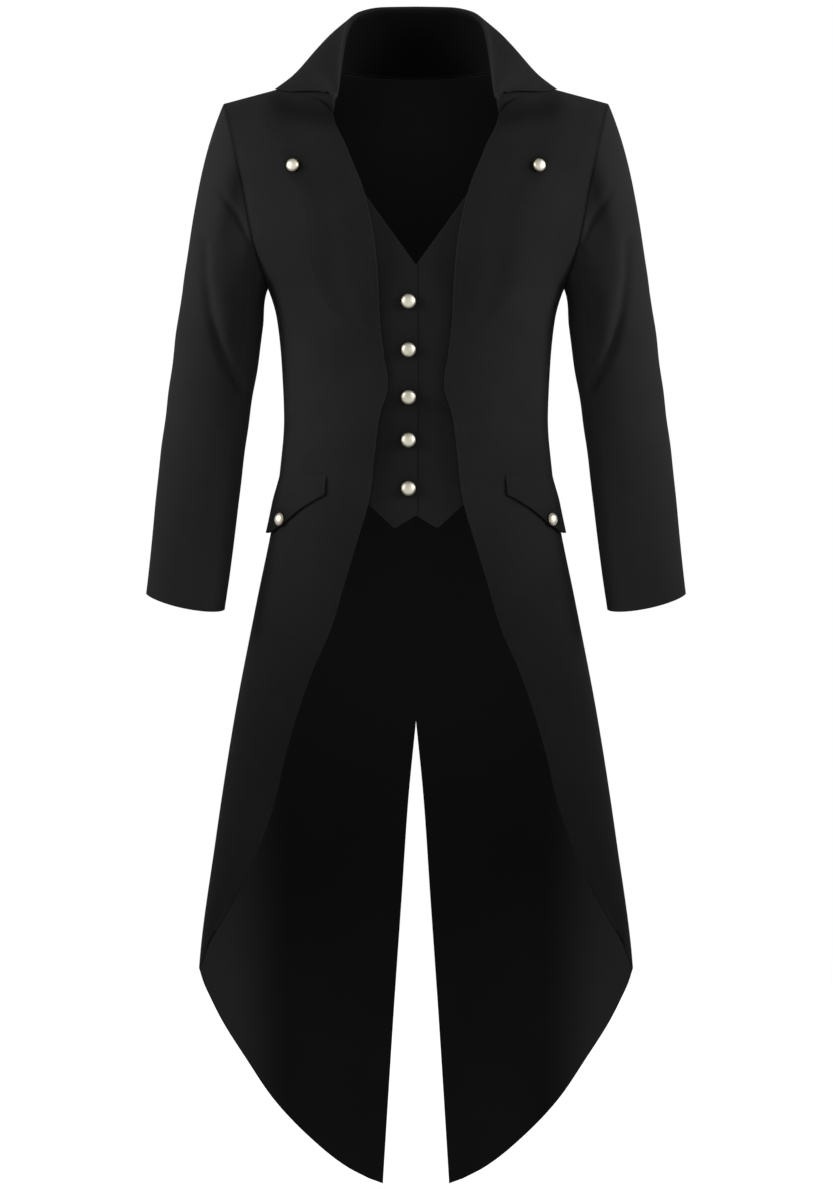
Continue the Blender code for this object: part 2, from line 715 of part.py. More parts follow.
def make_lapel(suffix, material, mirrored):
    rows = []
    roll = []
    across = np.linspace(0.0, 1.0, LAPEL_CELLS_ACROSS + 1)
    top = LAPEL_EDGE["height"].max()
    bottom = LAPEL_EDGE["height"].min()
    for share in np.linspace(0.0, 1.0, LAPEL_CELLS_DOWN + 1) ** LAPEL_ROW_POWER:
        outer_z = top + share * (bottom - top)
        outer_x = float(through(outer_z, LAPEL_EDGE["height"], LAPEL_EDGE["x"]))
        inner_z = float(through(outer_z, LAPEL_ROW_ENDS["outer"], LAPEL_ROW_ENDS["inner"]))
        inner_x = float(through(inner_z, FRONT_EDGE["height"], FRONT_EDGE["x"]))
        x = outer_x + (inner_x - outer_x) * across
        tuck = LAPEL_TUCK * (1 - smooth_step(top - outer_z, 0.0, LAPEL_TUCK_REACH))
        z = outer_z + (inner_z - outer_z) * across + tuck * (1 - (2 * across - 1) ** 4)
        rows.append(front_point(x, z))
        roll.append(LAPEL_ROLL * smooth_step(across, LAPEL_ROLL_FROM, LAPEL_ROLL_TO))
    panel = np.array(rows)
    normal = front_normals(panel)
    inner = panel + normal * (OVERLAY_GAP + np.array(roll)[:, :, None])
    outer = inner + normal * LAPEL_WALL
    cloth_wall("lapel_" + suffix, outer, inner, material, mirrored)


def waistcoat_front_y(x, z, extra):
    away = np.abs(x)
    dip = through(z, WAISTCOAT_DIP["height"], WAISTCOAT_DIP["depth"])
    dip = dip * (1 - smooth_step(away, WAISTCOAT_FLAT, WAISTCOAT_SIDE))
    return front_point(x, z)[..., 1] + COAT_WALL + OVERLAY_GAP + dip + extra


# One waistcoat half: x from its edge at the centre to its side under the coat.
def make_waistcoat(name, material, centre_edge, side_edge, behind):
    across = np.linspace(0.0, 1.0, WAISTCOAT_CELLS_ACROSS + 1)
    x = centre_edge + (side_edge - centre_edge) * across
    away = np.abs(x)
    top = WAISTCOAT_V_BOTTOM_Z + WAISTCOAT_V_SLOPE * away
    hem = np.interp(away, WAISTCOAT_HEM["x"], WAISTCOAT_HEM["height"])
    down = np.linspace(0.0, 1.0, WAISTCOAT_CELLS_DOWN + 1)[:, None]
    z = top + (hem - top) * down
    x = np.broadcast_to(x, z.shape)
    towards_side = x * np.sign(side_edge)
    extra = behind * (1 - smooth_step(towards_side, WAISTCOAT_LAP_FROM, WAISTCOAT_LAP_TO))
    outer = np.stack([x, waistcoat_front_y(x, z, extra), z], axis=-1)
    inner = outer + np.array([0.0, WAISTCOAT_WALL, 0.0])
    cloth_wall(name, outer, inner, material, False)


def make_flap(suffix, material, mirrored):
    first = math.degrees(section_angle(FLAP_FRONT_X, FLAP_TOP_Z))
    angle = np.linspace(first, FLAP_BACK_ANGLE, FLAP_CELLS_AROUND + 1)
    hem = np.interp(angle, FLAP_HEM["angle"], FLAP_HEM["height"])
    down = np.linspace(0.0, 1.0, FLAP_CELLS_DOWN + 1)[:, None]
    z = FLAP_TOP_Z + (hem - FLAP_TOP_Z) * down
    angle = np.broadcast_to(angle, z.shape)
    skin = ring_point(angle, z)
    normal = outward_normals(skin, (0.0, 0.0, -0.48))
    inner = skin + normal * (OVERLAY_GAP + FLAP_LIFT * down)[:, :, None]
    outer = inner + normal * FLAP_WALL
    cloth_wall("hip_flap_" + suffix, outer, inner, material, mirrored)


# A domed button on a short shank, turned round its own axis, standing on a place on the cloth.
def make_button(name, place, facing, radius, material):
    facing = np.asarray(facing, dtype=float)
    facing = facing / np.linalg.norm(facing)
    side = np.cross(facing, (0.0, 0.0, 1.0))
    side = side / np.linalg.norm(side)
    top = np.cross(side, facing)
    dome = radius * DOME_SHARE
    profile = [(SHANK_RADIUS, 0.0), (SHANK_RADIUS, SHANK_HEIGHT), (radius * BACK_SHARE, BACK_HEIGHT),
               (radius, RIM_HEIGHT)]
    for turn in np.radians(DOME_TURNS):
        profile.append((radius * DOME_FOOT_SHARE * math.cos(turn), RIM_HEIGHT + dome * math.sin(turn)))
    turns = np.linspace(0.0, 2 * math.pi, BUTTON_SIDES, endpoint=False)
    points = [np.asarray(place) + facing * BUTTON_GAP]
    for ring_radius, height in profile:
        for turn in turns:
            points.append(np.asarray(place) + facing * (BUTTON_GAP + height)
                          + ring_radius * (side * math.cos(turn) + top * math.sin(turn)))
    points.append(np.asarray(place) + facing * (BUTTON_GAP + RIM_HEIGHT + dome))
    last = len(points) - 1
    faces = []
    for index in range(BUTTON_SIDES):
        after = (index + 1) % BUTTON_SIDES
        faces.append((0, 1 + after, 1 + index))
        for ring in range(len(profile) - 1):
            low = 1 + ring * BUTTON_SIDES
            high = low + BUTTON_SIDES
            faces.append((low + index, low + after, high + after, high + index))
        top_ring = 1 + (len(profile) - 1) * BUTTON_SIDES
        faces.append((top_ring + index, top_ring + after, last))
    add_solid(name, np.array(points), faces, material)


def make_waistcoat_buttons(material):
    for number, height in enumerate(WAISTCOAT_BUTTON_HEIGHTS, start=1):
        x = WAISTCOAT_BUTTON_X
        y = float(waistcoat_front_y(x, height, 0.0))
        step = 0.004
        slope = float(waistcoat_front_y(x, height + step, 0.0) - waistcoat_front_y(x, height - step, 0.0))
        facing = (0.0, -1.0, slope / (2 * step))
        make_button(f"waistcoat_button_{number}", (x, y, height), facing, WAISTCOAT_BUTTON_RADIUS, material)


def make_lapel_button(suffix, material, hand):
    place = front_point(LAPEL_BUTTON_X, LAPEL_BUTTON_Z)
    normal = front_normals(place)
    place = place + normal * (OVERLAY_GAP + LAPEL_WALL)
    flip = np.array([hand, 1.0, 1.0])
    make_button("lapel_button_" + suffix, place * flip, normal * flip, SMALL_BUTTON_RADIUS, material)


def make_flap_button(suffix, material, hand):
    angle = math.degrees(section_angle(FLAP_BUTTON_X - FLAP_WALL - FLAP_LIFT / 2, FLAP_BUTTON_Z))
    skin = ring_point(np.array(angle), np.array(FLAP_BUTTON_Z))
    beside = ring_point(np.array(angle + 2.0), np.array(FLAP_BUTTON_Z)) - skin
    above = ring_point(np.array(angle), np.array(FLAP_BUTTON_Z + 0.004)) - skin
    normal = np.cross(beside, above)
    normal = normal / np.linalg.norm(normal)
    if normal[0] < 0:
        normal = -normal
    hem = float(np.interp(angle, FLAP_HEM["angle"], FLAP_HEM["height"]))
    share = (FLAP_TOP_Z - FLAP_BUTTON_Z) / (FLAP_TOP_Z - hem)
    place = skin + normal * (OVERLAY_GAP + FLAP_LIFT * share + FLAP_WALL)
    flip = np.array([hand, 1.0, 1.0])
    make_button("flap_button_" + suffix, place * flip, normal * flip, SMALL_BUTTON_RADIUS, material)


def build():
    for piece in list(bpy.data.objects):
        bpy.data.objects.remove(piece)
    coat = make_material("coat_cloth")
    waistcoat = make_material("waistcoat_cloth")
    brass = make_material("button_brass")
    front = front_grid()
    back = back_grid()
    for suffix, hand in (("left", -1.0), ("right", 1.0)):
        mirrored = hand < 0
        body_panel("front_" + suffix, front, coat, mirrored, 1.0)
        body_panel("back_" + suffix, back, coat, mirrored, -1.0)
        make_sleeve(suffix, coat, mirrored)
        make_lapel(suffix, coat, mirrored)
        make_flap(suffix, coat, mirrored)
        make_lapel_button(suffix, brass, hand)
        make_flap_button(suffix, brass, hand)
    make_collar(coat)
    make_waistcoat("waistcoat_left", waistcoat, WAISTCOAT_LAP_EDGE, -WAISTCOAT_SIDE, 0.0)
    make_waistcoat("waistcoat_right", waistcoat, -WAISTCOAT_UNDERLAP, WAISTCOAT_SIDE,
                   WAISTCOAT_WALL + OVERLAY_GAP)
    make_waistcoat_buttons(brass)


build()
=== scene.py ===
import math

import bpy
import numpy as np
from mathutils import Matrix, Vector


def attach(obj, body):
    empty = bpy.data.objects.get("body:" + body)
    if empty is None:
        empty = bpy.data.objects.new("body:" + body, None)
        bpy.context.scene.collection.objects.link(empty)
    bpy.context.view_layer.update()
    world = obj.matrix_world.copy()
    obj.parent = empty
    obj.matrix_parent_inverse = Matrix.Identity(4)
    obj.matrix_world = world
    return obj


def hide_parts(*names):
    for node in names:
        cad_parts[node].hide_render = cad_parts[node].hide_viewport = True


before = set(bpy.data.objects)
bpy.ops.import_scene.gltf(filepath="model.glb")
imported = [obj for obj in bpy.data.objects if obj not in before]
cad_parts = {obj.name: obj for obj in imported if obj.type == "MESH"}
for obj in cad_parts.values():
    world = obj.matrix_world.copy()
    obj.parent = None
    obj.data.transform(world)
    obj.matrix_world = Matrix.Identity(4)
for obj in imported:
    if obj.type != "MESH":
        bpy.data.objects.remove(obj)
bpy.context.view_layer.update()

# A long black tailcoat with a waistcoat front, filled out as if worn.
# Metres, z up, the front faces -y. Each shape is worked out for the right half and mirrored.

# Shared curves

# The body's sections: height, half width, front depth, back depth, power of the curve
bodySections = np.array([
    (0.0600, 0.2860, 0.0860, 0.0940, 2.40), (-0.0084, 0.2800, 0.0900, 0.1060, 2.40),
    (-0.0480, 0.2620, 0.1000, 0.1150, 2.40), (-0.1020, 0.2294, 0.1170, 0.1230, 2.40),
    (-0.1620, 0.2138, 0.1250, 0.1240, 2.40), (-0.2050, 0.1906, 0.1270, 0.1220, 2.40),
    (-0.2270, 0.1776, 0.1265, 0.1200, 2.40), (-0.2640, 0.1668, 0.1245, 0.1150, 2.40),
    (-0.3240, 0.1608, 0.1180, 0.1040, 2.40), (-0.3840, 0.1584, 0.1120, 0.0980, 2.40),
    (-0.4440, 0.1632, 0.1130, 0.1040, 2.40), (-0.5040, 0.1716, 0.1180, 0.1200, 2.35),
    (-0.6000, 0.1908, 0.1260, 0.1360, 2.25), (-0.7440, 0.2184, 0.1380, 0.1480, 2.10),
    (-0.8880, 0.2406, 0.1480, 0.1560, 1.95), (-1.0416, 0.2604, 0.1540, 0.1620, 1.80),
    (-1.3100, 0.2720, 0.1560, 0.1660, 1.75)])

coatCut = {
    "shoulderPoint": (0.2310, -0.0045),      # x, z where the shoulder seam meets the sleeve
    "neckPoint": (0.092, 0.033),             # x, z where the shoulder seam meets the collar
    "backNeckZ": 0.027,
    "underarmZ": -0.227,
    "shoulderRound": 0.090,                  # how far down the shoulder rounds over
    "sideCornerZ": -1.0416,
    "frontCornerZ": -1.0050,
    "ventTopZ": -0.746,
    "tailTipZ": -1.302,
    "wall": 0.0018,
    "bodyMiddle": (0.0, 0.0, -0.45),         # the cloth's outer faces look away from here
    "dentFade": 0.03,                        # dents and ripples die away over this width at a seam or an edge
    "armhole": [(-0.0045, 0.2310), (-0.0480, 0.2206), (-0.1020, 0.2082), (-0.1620, 0.1972),
                (-0.1940, 0.1890), (-0.2270, 0.1776)],
    "frontEdge": [(0.033, 0.092), (0.0120, 0.0965), (-0.0144, 0.0984), (-0.0550, 0.0840),
                  (-0.1090, 0.0630), (-0.1460, 0.0540), (-0.1980, 0.0470), (-0.2640, 0.0428),
                  (-0.3420, 0.0338), (-0.3860, 0.0450), (-0.4220, 0.0492), (-0.4740, 0.0552),
                  (-0.5380, 0.0732), (-0.5780, 0.0852), (-0.6340, 0.1020), (-0.6840, 0.1236),
                  (-0.7380, 0.1428), (-0.7930, 0.1584), (-0.8400, 0.1692), (-0.8880, 0.1850),
                  (-0.9500, 0.2125), (-1.0050, 0.2460)],
    "tailHem": [(-1.0416, 0.2604), (-1.0560, 0.2564), (-1.0800, 0.2460), (-1.1040, 0.2340),
                (-1.1520, 0.2040), (-1.2000, 0.1716), (-1.2480, 0.1260), (-1.2840, 0.0800),
                (-1.2960, 0.0560)],
    "ventEdge": [(-0.7460, 0.0), (-0.8400, 0.0092), (-0.9600, 0.0174), (-1.0800, 0.0258),
                 (-1.2000, 0.0336), (-1.3020, 0.0400)],
    # soft ripples: how high at the waist, how much more at the hem, and how far down that goes
    "ripple": (0.0004, 0.0012), "rippleBetween": (0.45, 1.25),
    # soft dents in the front: a route of x, z, how deep and how wide
    "dents": [([(0.197, -0.722), (0.178, -0.730)], 0.0030, 0.016),
              ([(0.236, -0.980), (0.215, -0.992)], 0.0032, 0.015),
              ([(0.150, -0.330), (0.110, -0.352)], 0.0012, 0.014),
              ([(0.152, -0.392), (0.104, -0.380)], 0.0012, 0.012)],
}


def cubic(t, start, startSlope, end, endSlope):
    # the cubic from start to end as t goes from 0 to 1, with these slopes at its ends
    return (start * (2 * t**3 - 3 * t**2 + 1) + startSlope * (t**3 - 2 * t**2 + t)
            + end * (3 * t**2 - 2 * t**3) + endSlope * (t**3 - t**2))


def curveThrough(at, rows):
    # Smooth curve through the rows' two columns: a cubic from row to row. Its slope at a row is the weighted
    # harmonic mean of the slopes beside it, or 0 where they turn, so that it never swings past a row.
    rows = np.asarray(rows, dtype=float)
    rows = rows[np.argsort(rows[:, 0])]
    x, y = rows[:, 0], rows[:, 1]
    step = np.diff(x)
    rise = np.diff(y) / step
    slope = np.empty_like(y)
    slope[0], slope[-1] = rise[0], rise[-1]
    sameWay = rise[:-1] * rise[1:] > 0
    before, after = 2 * step[1:] + step[:-1], step[1:] + 2 * step[:-1]
    share = before / np.where(sameWay, rise[:-1], 1) + after / np.where(sameWay, rise[1:], 1)
    slope[1:-1] = np.where(sameWay, (before + after) / np.where(sameWay, share, 1), 0)
    q = np.clip(np.asarray(at, dtype=float), x[0], x[-1])
    cell = np.clip(np.searchsorted(x, q, side="right") - 1, 0, len(step) - 1)
    return cubic((q - x[cell]) / step[cell], y[cell], slope[cell] * step[cell],
                 y[cell + 1], slope[cell + 1] * step[cell])


def smoothStep(value, low, high):
    # 0 below low, 1 above high, and three times the square less twice the cube of the share between
    t = np.clip((np.asarray(value, dtype=float) - low) / (high - low), 0, 1)
    return t * t * (3 - 2 * t)


def unit(vectors):
    # each vector divided by its length
    return vectors / np.maximum(np.linalg.norm(vectors, axis=-1, keepdims=True), 1e-12)


def squareTo(vectors, directions):
    # what is left of the vectors without their share along the unit directions
    return vectors - np.sum(vectors * directions, axis=-1, keepdims=True) * directions


def section(z, column):
    # one column of the body's sections at height z
    return curveThrough(z, bodySections[:, [0, column]])


def shoulderLine(x):
    # straight from the neck point to the shoulder point
    (shoulderX, shoulderZ), (neckX, neckZ) = coatCut["shoulderPoint"], coatCut["neckPoint"]
    return neckZ - (neckZ - shoulderZ) / (shoulderX - neckX) * (np.asarray(x) - neckX)


def bodyDepth(x, z, column):
    # depth times (1 - (x / half width) to the power) to 1 / power, rounded over at the shoulder in a quarter
    # of a circle
    power = section(z, 4)
    across = 1 - np.clip(np.abs(x) / section(z, 1), 0, 1) ** power
    below = np.clip((shoulderLine(np.abs(x)) - z) / coatCut["shoulderRound"], 0, 1)
    return section(z, column) * np.maximum(across, 0) ** (1 / power) * np.sqrt(1 - (1 - below) ** 2)


def skinPoint(x, z, column, hand):
    # the body's skin at x and z: hand is -1 in front and 1 behind, and column that side's depth
    x, z = np.broadcast_arrays(np.asarray(x, dtype=float), np.asarray(z, dtype=float))
    return np.stack([x, hand * bodyDepth(x, z, column), z], axis=-1)


def frontPoint(x, z):
    return skinPoint(x, z, 2, -1)


def backPoint(x, z):
    return skinPoint(x, z, 3, 1)


def sectionAngle(x, z):
    # how far round its section x lies, from 0 at the centre to a quarter turn at the side
    return np.arcsin(np.clip(x / section(z, 1), 0, 1) ** (section(z, 4) / 2))


def routeDistance(x, z, route):
    # distance to the nearest of a route's straight stretches, seen from the front
    nearest = np.full(np.shape(x), 1.0)
    for (x0, z0), (x1, z1) in zip(route, route[1:]):
        wide, high = x1 - x0, z1 - z0
        along = np.clip(((x - x0) * wide + (z - z0) * high) / (wide ** 2 + high ** 2), 0, 1)
        nearest = np.minimum(nearest, np.hypot(x - x0 - along * wide, z - z0 - along * high))
    return nearest


def gridNormals(points):
    # the cross product of the grid's two directions, made one long
    return unit(np.cross(np.gradient(points, axis=1), np.gradient(points, axis=0)))


def bodyNormals(points):
    # as gridNormals, turned to point away from the middle of the body
    normal = gridNormals(points)
    return normal if np.sum(normal * (points - np.array(coatCut["bodyMiddle"]))) > 0 else -normal


def edgeSpread(count, crowding):
    # shares from 0 to 1, even steps less a sine, so that the steps at both ends are short
    t = np.linspace(0, 1, count + 1)
    return t - crowding * np.sin(2 * np.pi * t) / (2 * np.pi)


# Cloth walls

clothEdge = {
    "seamDip": 0.00045,                      # how far the cloth dips into a seam
    "seamLap": 0.00005,                      # neighbours touch in a seam, so no light shows between them
    "sharpAngle": 62,                        # degrees; a rim of a seam meets its faces at a sharp edge
    "rimTurns": (35, 90, 145),               # degrees round the rim of a free edge
    "farAway": 0.2,                          # the distance noted where there is no such edge
}


def pathLengths(points, axis):
    # length along each row (axis 1) or column (axis 0) up to each point
    step = np.linalg.norm(np.diff(points, axis=axis), axis=2)
    zero = np.zeros_like(np.take(step, [0], axis=axis))
    return np.concatenate([zero, np.cumsum(step, axis=axis)], axis=axis)


def edgeMaps(points, sewn, stitched):
    # For each point the distance to the nearest stitched edge with the length along it, the lengths across
    # and down the grid, and the distance to the nearest seam
    across, down = pathLengths(points, 1), pathLengths(points, 0)
    sides = {"first": (across, down, sewn[:, :1]), "last": (across[:, -1:] - across, down, sewn[:, -1:]),
             "top": (down, across, sewn[:1]), "bottom": (down[-1:] - down, across, sewn[-1:])}
    far = clothEdge["farAway"]
    away, along, seam = np.full(across.shape, far), down.copy(), np.full(across.shape, far)
    for side, (distance, run, closed) in sides.items():
        seam = np.minimum(seam, np.where(closed, distance, far))
        if side in stitched:
            distance = np.where(closed, far, distance)
            along = np.where(distance < away, run, along)
            away = np.minimum(away, distance)
    return np.stack([away, along], axis=-1), np.stack([across, down], axis=-1), seam


def borderOf(rows, columns):
    # the grid's border points in one round
    return np.concatenate([np.arange(columns), np.arange(1, rows) * columns + columns - 1,
                           (rows - 1) * columns + np.arange(columns - 2, -1, -1),
                           np.arange(rows - 2, 0, -1) * columns])


def thinTowards(fromEdge, piece):
    # the share of the wall that is left: the piece's thinEdge at its edge, and all of it past its thinReach
    return piece["thinEdge"] + (1 - piece["thinEdge"]) * smoothStep(fromEdge, 0.0, piece["thinReach"])


def wallPoints(outer, inner, sewn, border):
    # Both faces, then the rim. At a free border both faces end half a wall's thickness short, and the rim
    # goes round their middle in half a circle. At a seam the outer face dips along the seam plane, and both
    # faces lap over it by a hair.
    rows, columns = outer.shape[:2]
    r, c = border // columns, border % columns
    inwards = np.clip(r, 1, rows - 2) * columns + np.clip(c, 1, columns - 2)
    flatOuter, flatInner = outer.reshape(-1, 3).copy(), inner.reshape(-1, 3).copy()
    facing = unit(flatOuter[border] - flatInner[border])
    out = unit(squareTo(flatOuter[border] - flatOuter[inwards], facing))
    across = sewn[r, c]
    closed = np.any(across != 0, axis=1, keepdims=True)
    flatOuter[border] -= squareTo(facing, across) * np.where(closed, clothEdge["seamDip"], 0)
    flatOuter[border] += across * clothEdge["seamLap"]
    flatInner[border] += across * clothEdge["seamLap"]
    half = np.linalg.norm(flatOuter[border] - flatInner[border], axis=1, keepdims=True) / 2
    setBack = np.where(closed, 0, half)
    flatOuter[border] -= out * setBack
    flatInner[border] -= out * setBack
    middle = (flatOuter[border] + flatInner[border]) / 2
    turns = np.radians(clothEdge["rimTurns"])
    rim = [middle + facing * half * math.cos(t) + out * setBack * math.sin(t) for t in turns]
    return np.concatenate([flatOuter, flatInner] + rim)


def wallFaces(rows, columns, border):
    # quads over both grids, the inner ones turned round, and strips round the rim from face to face
    index = np.arange(rows * columns).reshape(rows, columns)
    quads = np.stack([index[:-1, :-1], index[:-1, 1:], index[1:, 1:], index[1:, :-1]], axis=-1).reshape(-1, 4)
    base, around, rounds = index.size, len(border), len(clothEdge["rimTurns"])
    loops = [border] + [2 * base + k * around + np.arange(around) for k in range(rounds)] + [base + border]
    strips = [np.stack([np.roll(a, -1), a, b, np.roll(b, -1)], axis=-1) for a, b in zip(loops, loops[1:])]
    faces = np.concatenate([quads, (quads + base)[:, ::-1]] + strips)
    onInside = np.arange(len(faces)) // len(quads) == 1
    return faces, onInside


def clothWall(name, outer, inner, materials, sewn=None, stitched=(), inside=0.0, worn=0.0, marked=None,
              mirrored=False):
    # A closed wall between two matching grids. sewn holds the seam plane's normal, which points at the
    # neighbour, or zeros where no seam is. marked tells which seams get painted shade and puckers beside
    # them, and inside how far the inner face has the other finish: the lining rather than the painted light
    # on the tails' inner sides, and on the collar the painted shade inside the neck. The signed tone goes
    # from -1, painted shade, to 1, pale with rubbed nap and painted light.
    shape = outer.shape[:2]
    sewn = np.zeros(outer.shape) if sewn is None else sewn
    marked = np.any(sewn != 0, axis=2) if marked is None else marked
    border = borderOf(*shape)
    points = wallPoints(outer, inner, sewn, border) * np.array([-1.0 if mirrored else 1.0, 1, 1])
    faces, onInside = wallFaces(*shape, border)
    # the signed volume tells whether the faces point outwards
    a, b, c, d = (points[faces[:, k]] for k in range(4))
    if np.sum(a * (np.cross(b, c) + np.cross(c, d))) < 0:
        faces = faces[:, ::-1]
    piece = meshFrom(name, points, faces, materials, onInside.astype(np.int32) * (len(materials) - 1))

    def everywhere(values, onOuter=1.0):
        # the values at each point of both faces and the rim, times onOuter on the outer face and the rim
        flat = np.broadcast_to(values, shape + np.shape(values)[2:]).reshape(shape[0] * shape[1], -1)
        return np.concatenate([flat * onOuter, flat] + [flat[border] * onOuter] * len(clothEdge["rimTurns"]))

    stitch, weave, seam = edgeMaps(outer, marked, stitched)
    for label, values in (("weave", weave), ("stitch", stitch)):
        layer = piece.data.uv_layers.new(name=label)
        layer.data.foreach_set("uv", everywhere(values)[faces].astype(np.float32).reshape(-1))
    for label, values, onOuter in (("inside", inside, 0.0), ("seam", seam, 1.0), ("worn", worn, 1.0)):
        attribute = piece.data.attributes.new(label, "FLOAT", "POINT")
        attribute.data.foreach_set("value", everywhere(values, onOuter)[:, 0].astype(np.float32))
    return piece


def meshFrom(name, points, faces, materials, faceMaterial=None):
    # faces holds the point numbers of each face, all with as many corners
    mesh = bpy.data.meshes.new(name)
    mesh.vertices.add(len(points))
    mesh.vertices.foreach_set("co", np.asarray(points, dtype=np.float32).reshape(-1))
    mesh.loops.add(faces.size)
    mesh.loops.foreach_set("vertex_index", faces.astype(np.int32).reshape(-1))
    mesh.polygons.add(len(faces))
    mesh.polygons.foreach_set("loop_start", np.arange(len(faces), dtype=np.int32) * faces.shape[1])
    if faceMaterial is not None:
        mesh.polygons.foreach_set("material_index", faceMaterial)
    mesh.update(calc_edges=True)
    mesh.shade_smooth()
    mesh.set_sharp_from_angle(angle=math.radians(clothEdge["sharpAngle"]))
    for material in materials:
        mesh.materials.append(material)
    piece = bpy.data.objects.new(name, mesh)
    bpy.context.scene.collection.objects.link(piece)
    return piece


def dress(piece, node):
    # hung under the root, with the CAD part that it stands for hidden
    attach(piece, "root")
    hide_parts(node)


# Materials

def addNode(tree, kind, settings=None, **values):
    # values names the inputs, with _ for a space
    made = tree.nodes.new(kind)
    for key, value in (settings or {}).items():
        setattr(made, key, value)
    for key, value in values.items():
        connect(tree, value, made.inputs[key.replace("_", " ")])
    return made


def connect(tree, value, socket):
    # an output is linked, and a plain value is set
    if isinstance(value, bpy.types.NodeSocket):
        tree.links.new(value, socket)
    else:
        socket.default_value = value


def calculate(tree, operation, *values):
    # one Math node over the values
    made = addNode(tree, "ShaderNodeMath", {"operation": operation})
    for place, value in enumerate(values):
        connect(tree, value, made.inputs[place])
    return made.outputs[0]


def fade(tree, value, low, high, start=1.0, end=0.0):
    # start at low and below, end at high and above, a smooth step between
    made = addNode(tree, "ShaderNodeMapRange", {"interpolation_type": "SMOOTHSTEP"}, Value=value,
                   From_Min=low, From_Max=high, To_Min=start, To_Max=end)
    return made.outputs[0]


def wave(tree, distance, pitch):
    # a sine with one turn for each pitch
    return calculate(tree, "SINE", calculate(tree, "MULTIPLY", distance, 2 * math.pi / pitch))


def noise(tree, place, scale, detail=3.0, roughness=0.55):
    # scale is its number of bumps in a metre
    made = addNode(tree, "ShaderNodeTexNoise", Vector=place, Scale=scale, Detail=detail, Roughness=roughness)
    return made.outputs["Fac"]


def mixColour(tree, share, first, second):
    # the first colour where the share is 0 and below, the second where it is 1 and above
    made = addNode(tree, "ShaderNodeMix", {"data_type": "RGBA"})
    for socket, value in ((made.inputs[0], share), (made.inputs[6], first), (made.inputs[7], second)):
        connect(tree, value, socket)
    return made.outputs[2]


def uvPair(tree, name):
    # both lengths that a UV map holds, in metres
    layer = addNode(tree, "ShaderNodeUVMap", {"uv_map": name}).outputs[0]
    return addNode(tree, "ShaderNodeSeparateXYZ", Vector=layer).outputs[:2]


def readAttribute(tree, name):
    return addNode(tree, "ShaderNodeAttribute", {"attribute_name": name}).outputs["Fac"]


def newMaterial(name):
    # a material, its nodes and its shader
    material = bpy.data.materials.new(name)
    material.use_nodes = True
    return material, material.node_tree, material.node_tree.nodes["Principled BSDF"]


def solidColour(colour, times=1.0):
    # the colour times a number, with nothing see-through
    return (colour[0] * times, colour[1] * times, colour[2] * times, 1.0)


def finishShader(tree, shader, look, colour, rough, relief):
    # colour, roughness and bump are linked, and what is the same all over is set on the shader's own sockets
    bump = addNode(tree, "ShaderNodeBump", Height=relief, Strength=look["bump"], Distance=look["bumpDepth"])
    linked = {"Base Color": colour, "Roughness": rough, "Normal": bump.outputs[0]}
    for name, value in {**linked, **look["plain"]}.items():
        connect(tree, value, shader.inputs[name])


# Widths and pitches are metres, and a share tells how far a layer covers the cloth under it. The roughness
# runs between two values with a noise.
coatCloth = {
    "colour": (0.0080, 0.0080, 0.0080),
    "mottling": (0.80, 1.20),                # the colour drifts between these shares of itself
    "worn": (0.0170, 0.0170, 0.0168),        # pale: nap rubbed thin along folds and finished edges, with painted highlights there, and painted light on the sleeves
    "paintedShade": (0.0012, 0.0012, 0.0012),     # painted shade: under the collar, round the buttons, down the skirt and on the upper lapel; also the collar's own darker tone
    "threadColour": (0.0105, 0.0105, 0.0105),
    # painted shade in the stitch groove along the free edges
    "grooveShadeColour": (0.0020, 0.0020, 0.0020),
    # painted shade beside a seam
    "seamShadeColour": (0.0015, 0.0015, 0.0015),
    "neckShadeColour": (0.0014, 0.0014, 0.0014),  # painted shade: the collar's stand, on the side of the neck, painted near black for the shade inside the neck
    "grooveShare": 0.20, "threadShare": 0.60, "seamShadeShare": 0.45,
    "roughness": (0.87, 0.97),
    "ribPitch": 0.00085,                     # from one twill rib to the next
    "napScale": 1400.0, "patchScale": 9.0, "lintScale": 160.0,
    "stitchFromEdge": 0.0060, "stitchPitch": 0.0030,
    "grooveWidth": 0.0011, "threadWidth": (0.0001, 0.0004),
    # a pale line along the finished edges: rubbed nap and a painted highlight
    "edgeWearAndHighlight": 0.08, "edgeWearAndHighlightWidth": (0.0002, 0.0016),
    "seamShadeWidth": 0.0045, "puckerWidth": (0.001, 0.012), "puckerPitch": 0.011,
    "bump": 0.22, "bumpDepth": 0.0003,
    "plain": {"Specular IOR Level": 0.015, "Sheen Weight": 0.003, "Sheen Roughness": 0.5},
}
waistcoatCloth = dict(coatCloth, colour=(0.0072, 0.0072, 0.0072), worn=(0.0120, 0.0120, 0.0118),
                      ribPitch=0.0006, stitchFromEdge=0.0045, roughness=(0.83, 0.93))
liningCloth = {
    "colour": (0.0135, 0.0135, 0.0135),
    "tailColour": (0.0040, 0.0040, 0.0040),  # darker than above, where painted light lifts the lining that lies in shade inside the coat
    "tailFrom": -0.45, "tailTo": -0.95,      # heights between which the lighter upper tone gives way to the tails' tone
    "litColour": (0.0162, 0.0162, 0.0162),   # painted light on the inner side of each tail, fading into the dark lining
    "patchScale": 12.0, "patchShare": 0.3, "patchDark": 0.7,
    "roughness": (0.79, 0.91),
    "threadPitch": 0.0005,
    "bump": 0.1, "bumpDepth": 0.0002,
    "plain": {"Specular IOR Level": 0.01},
}


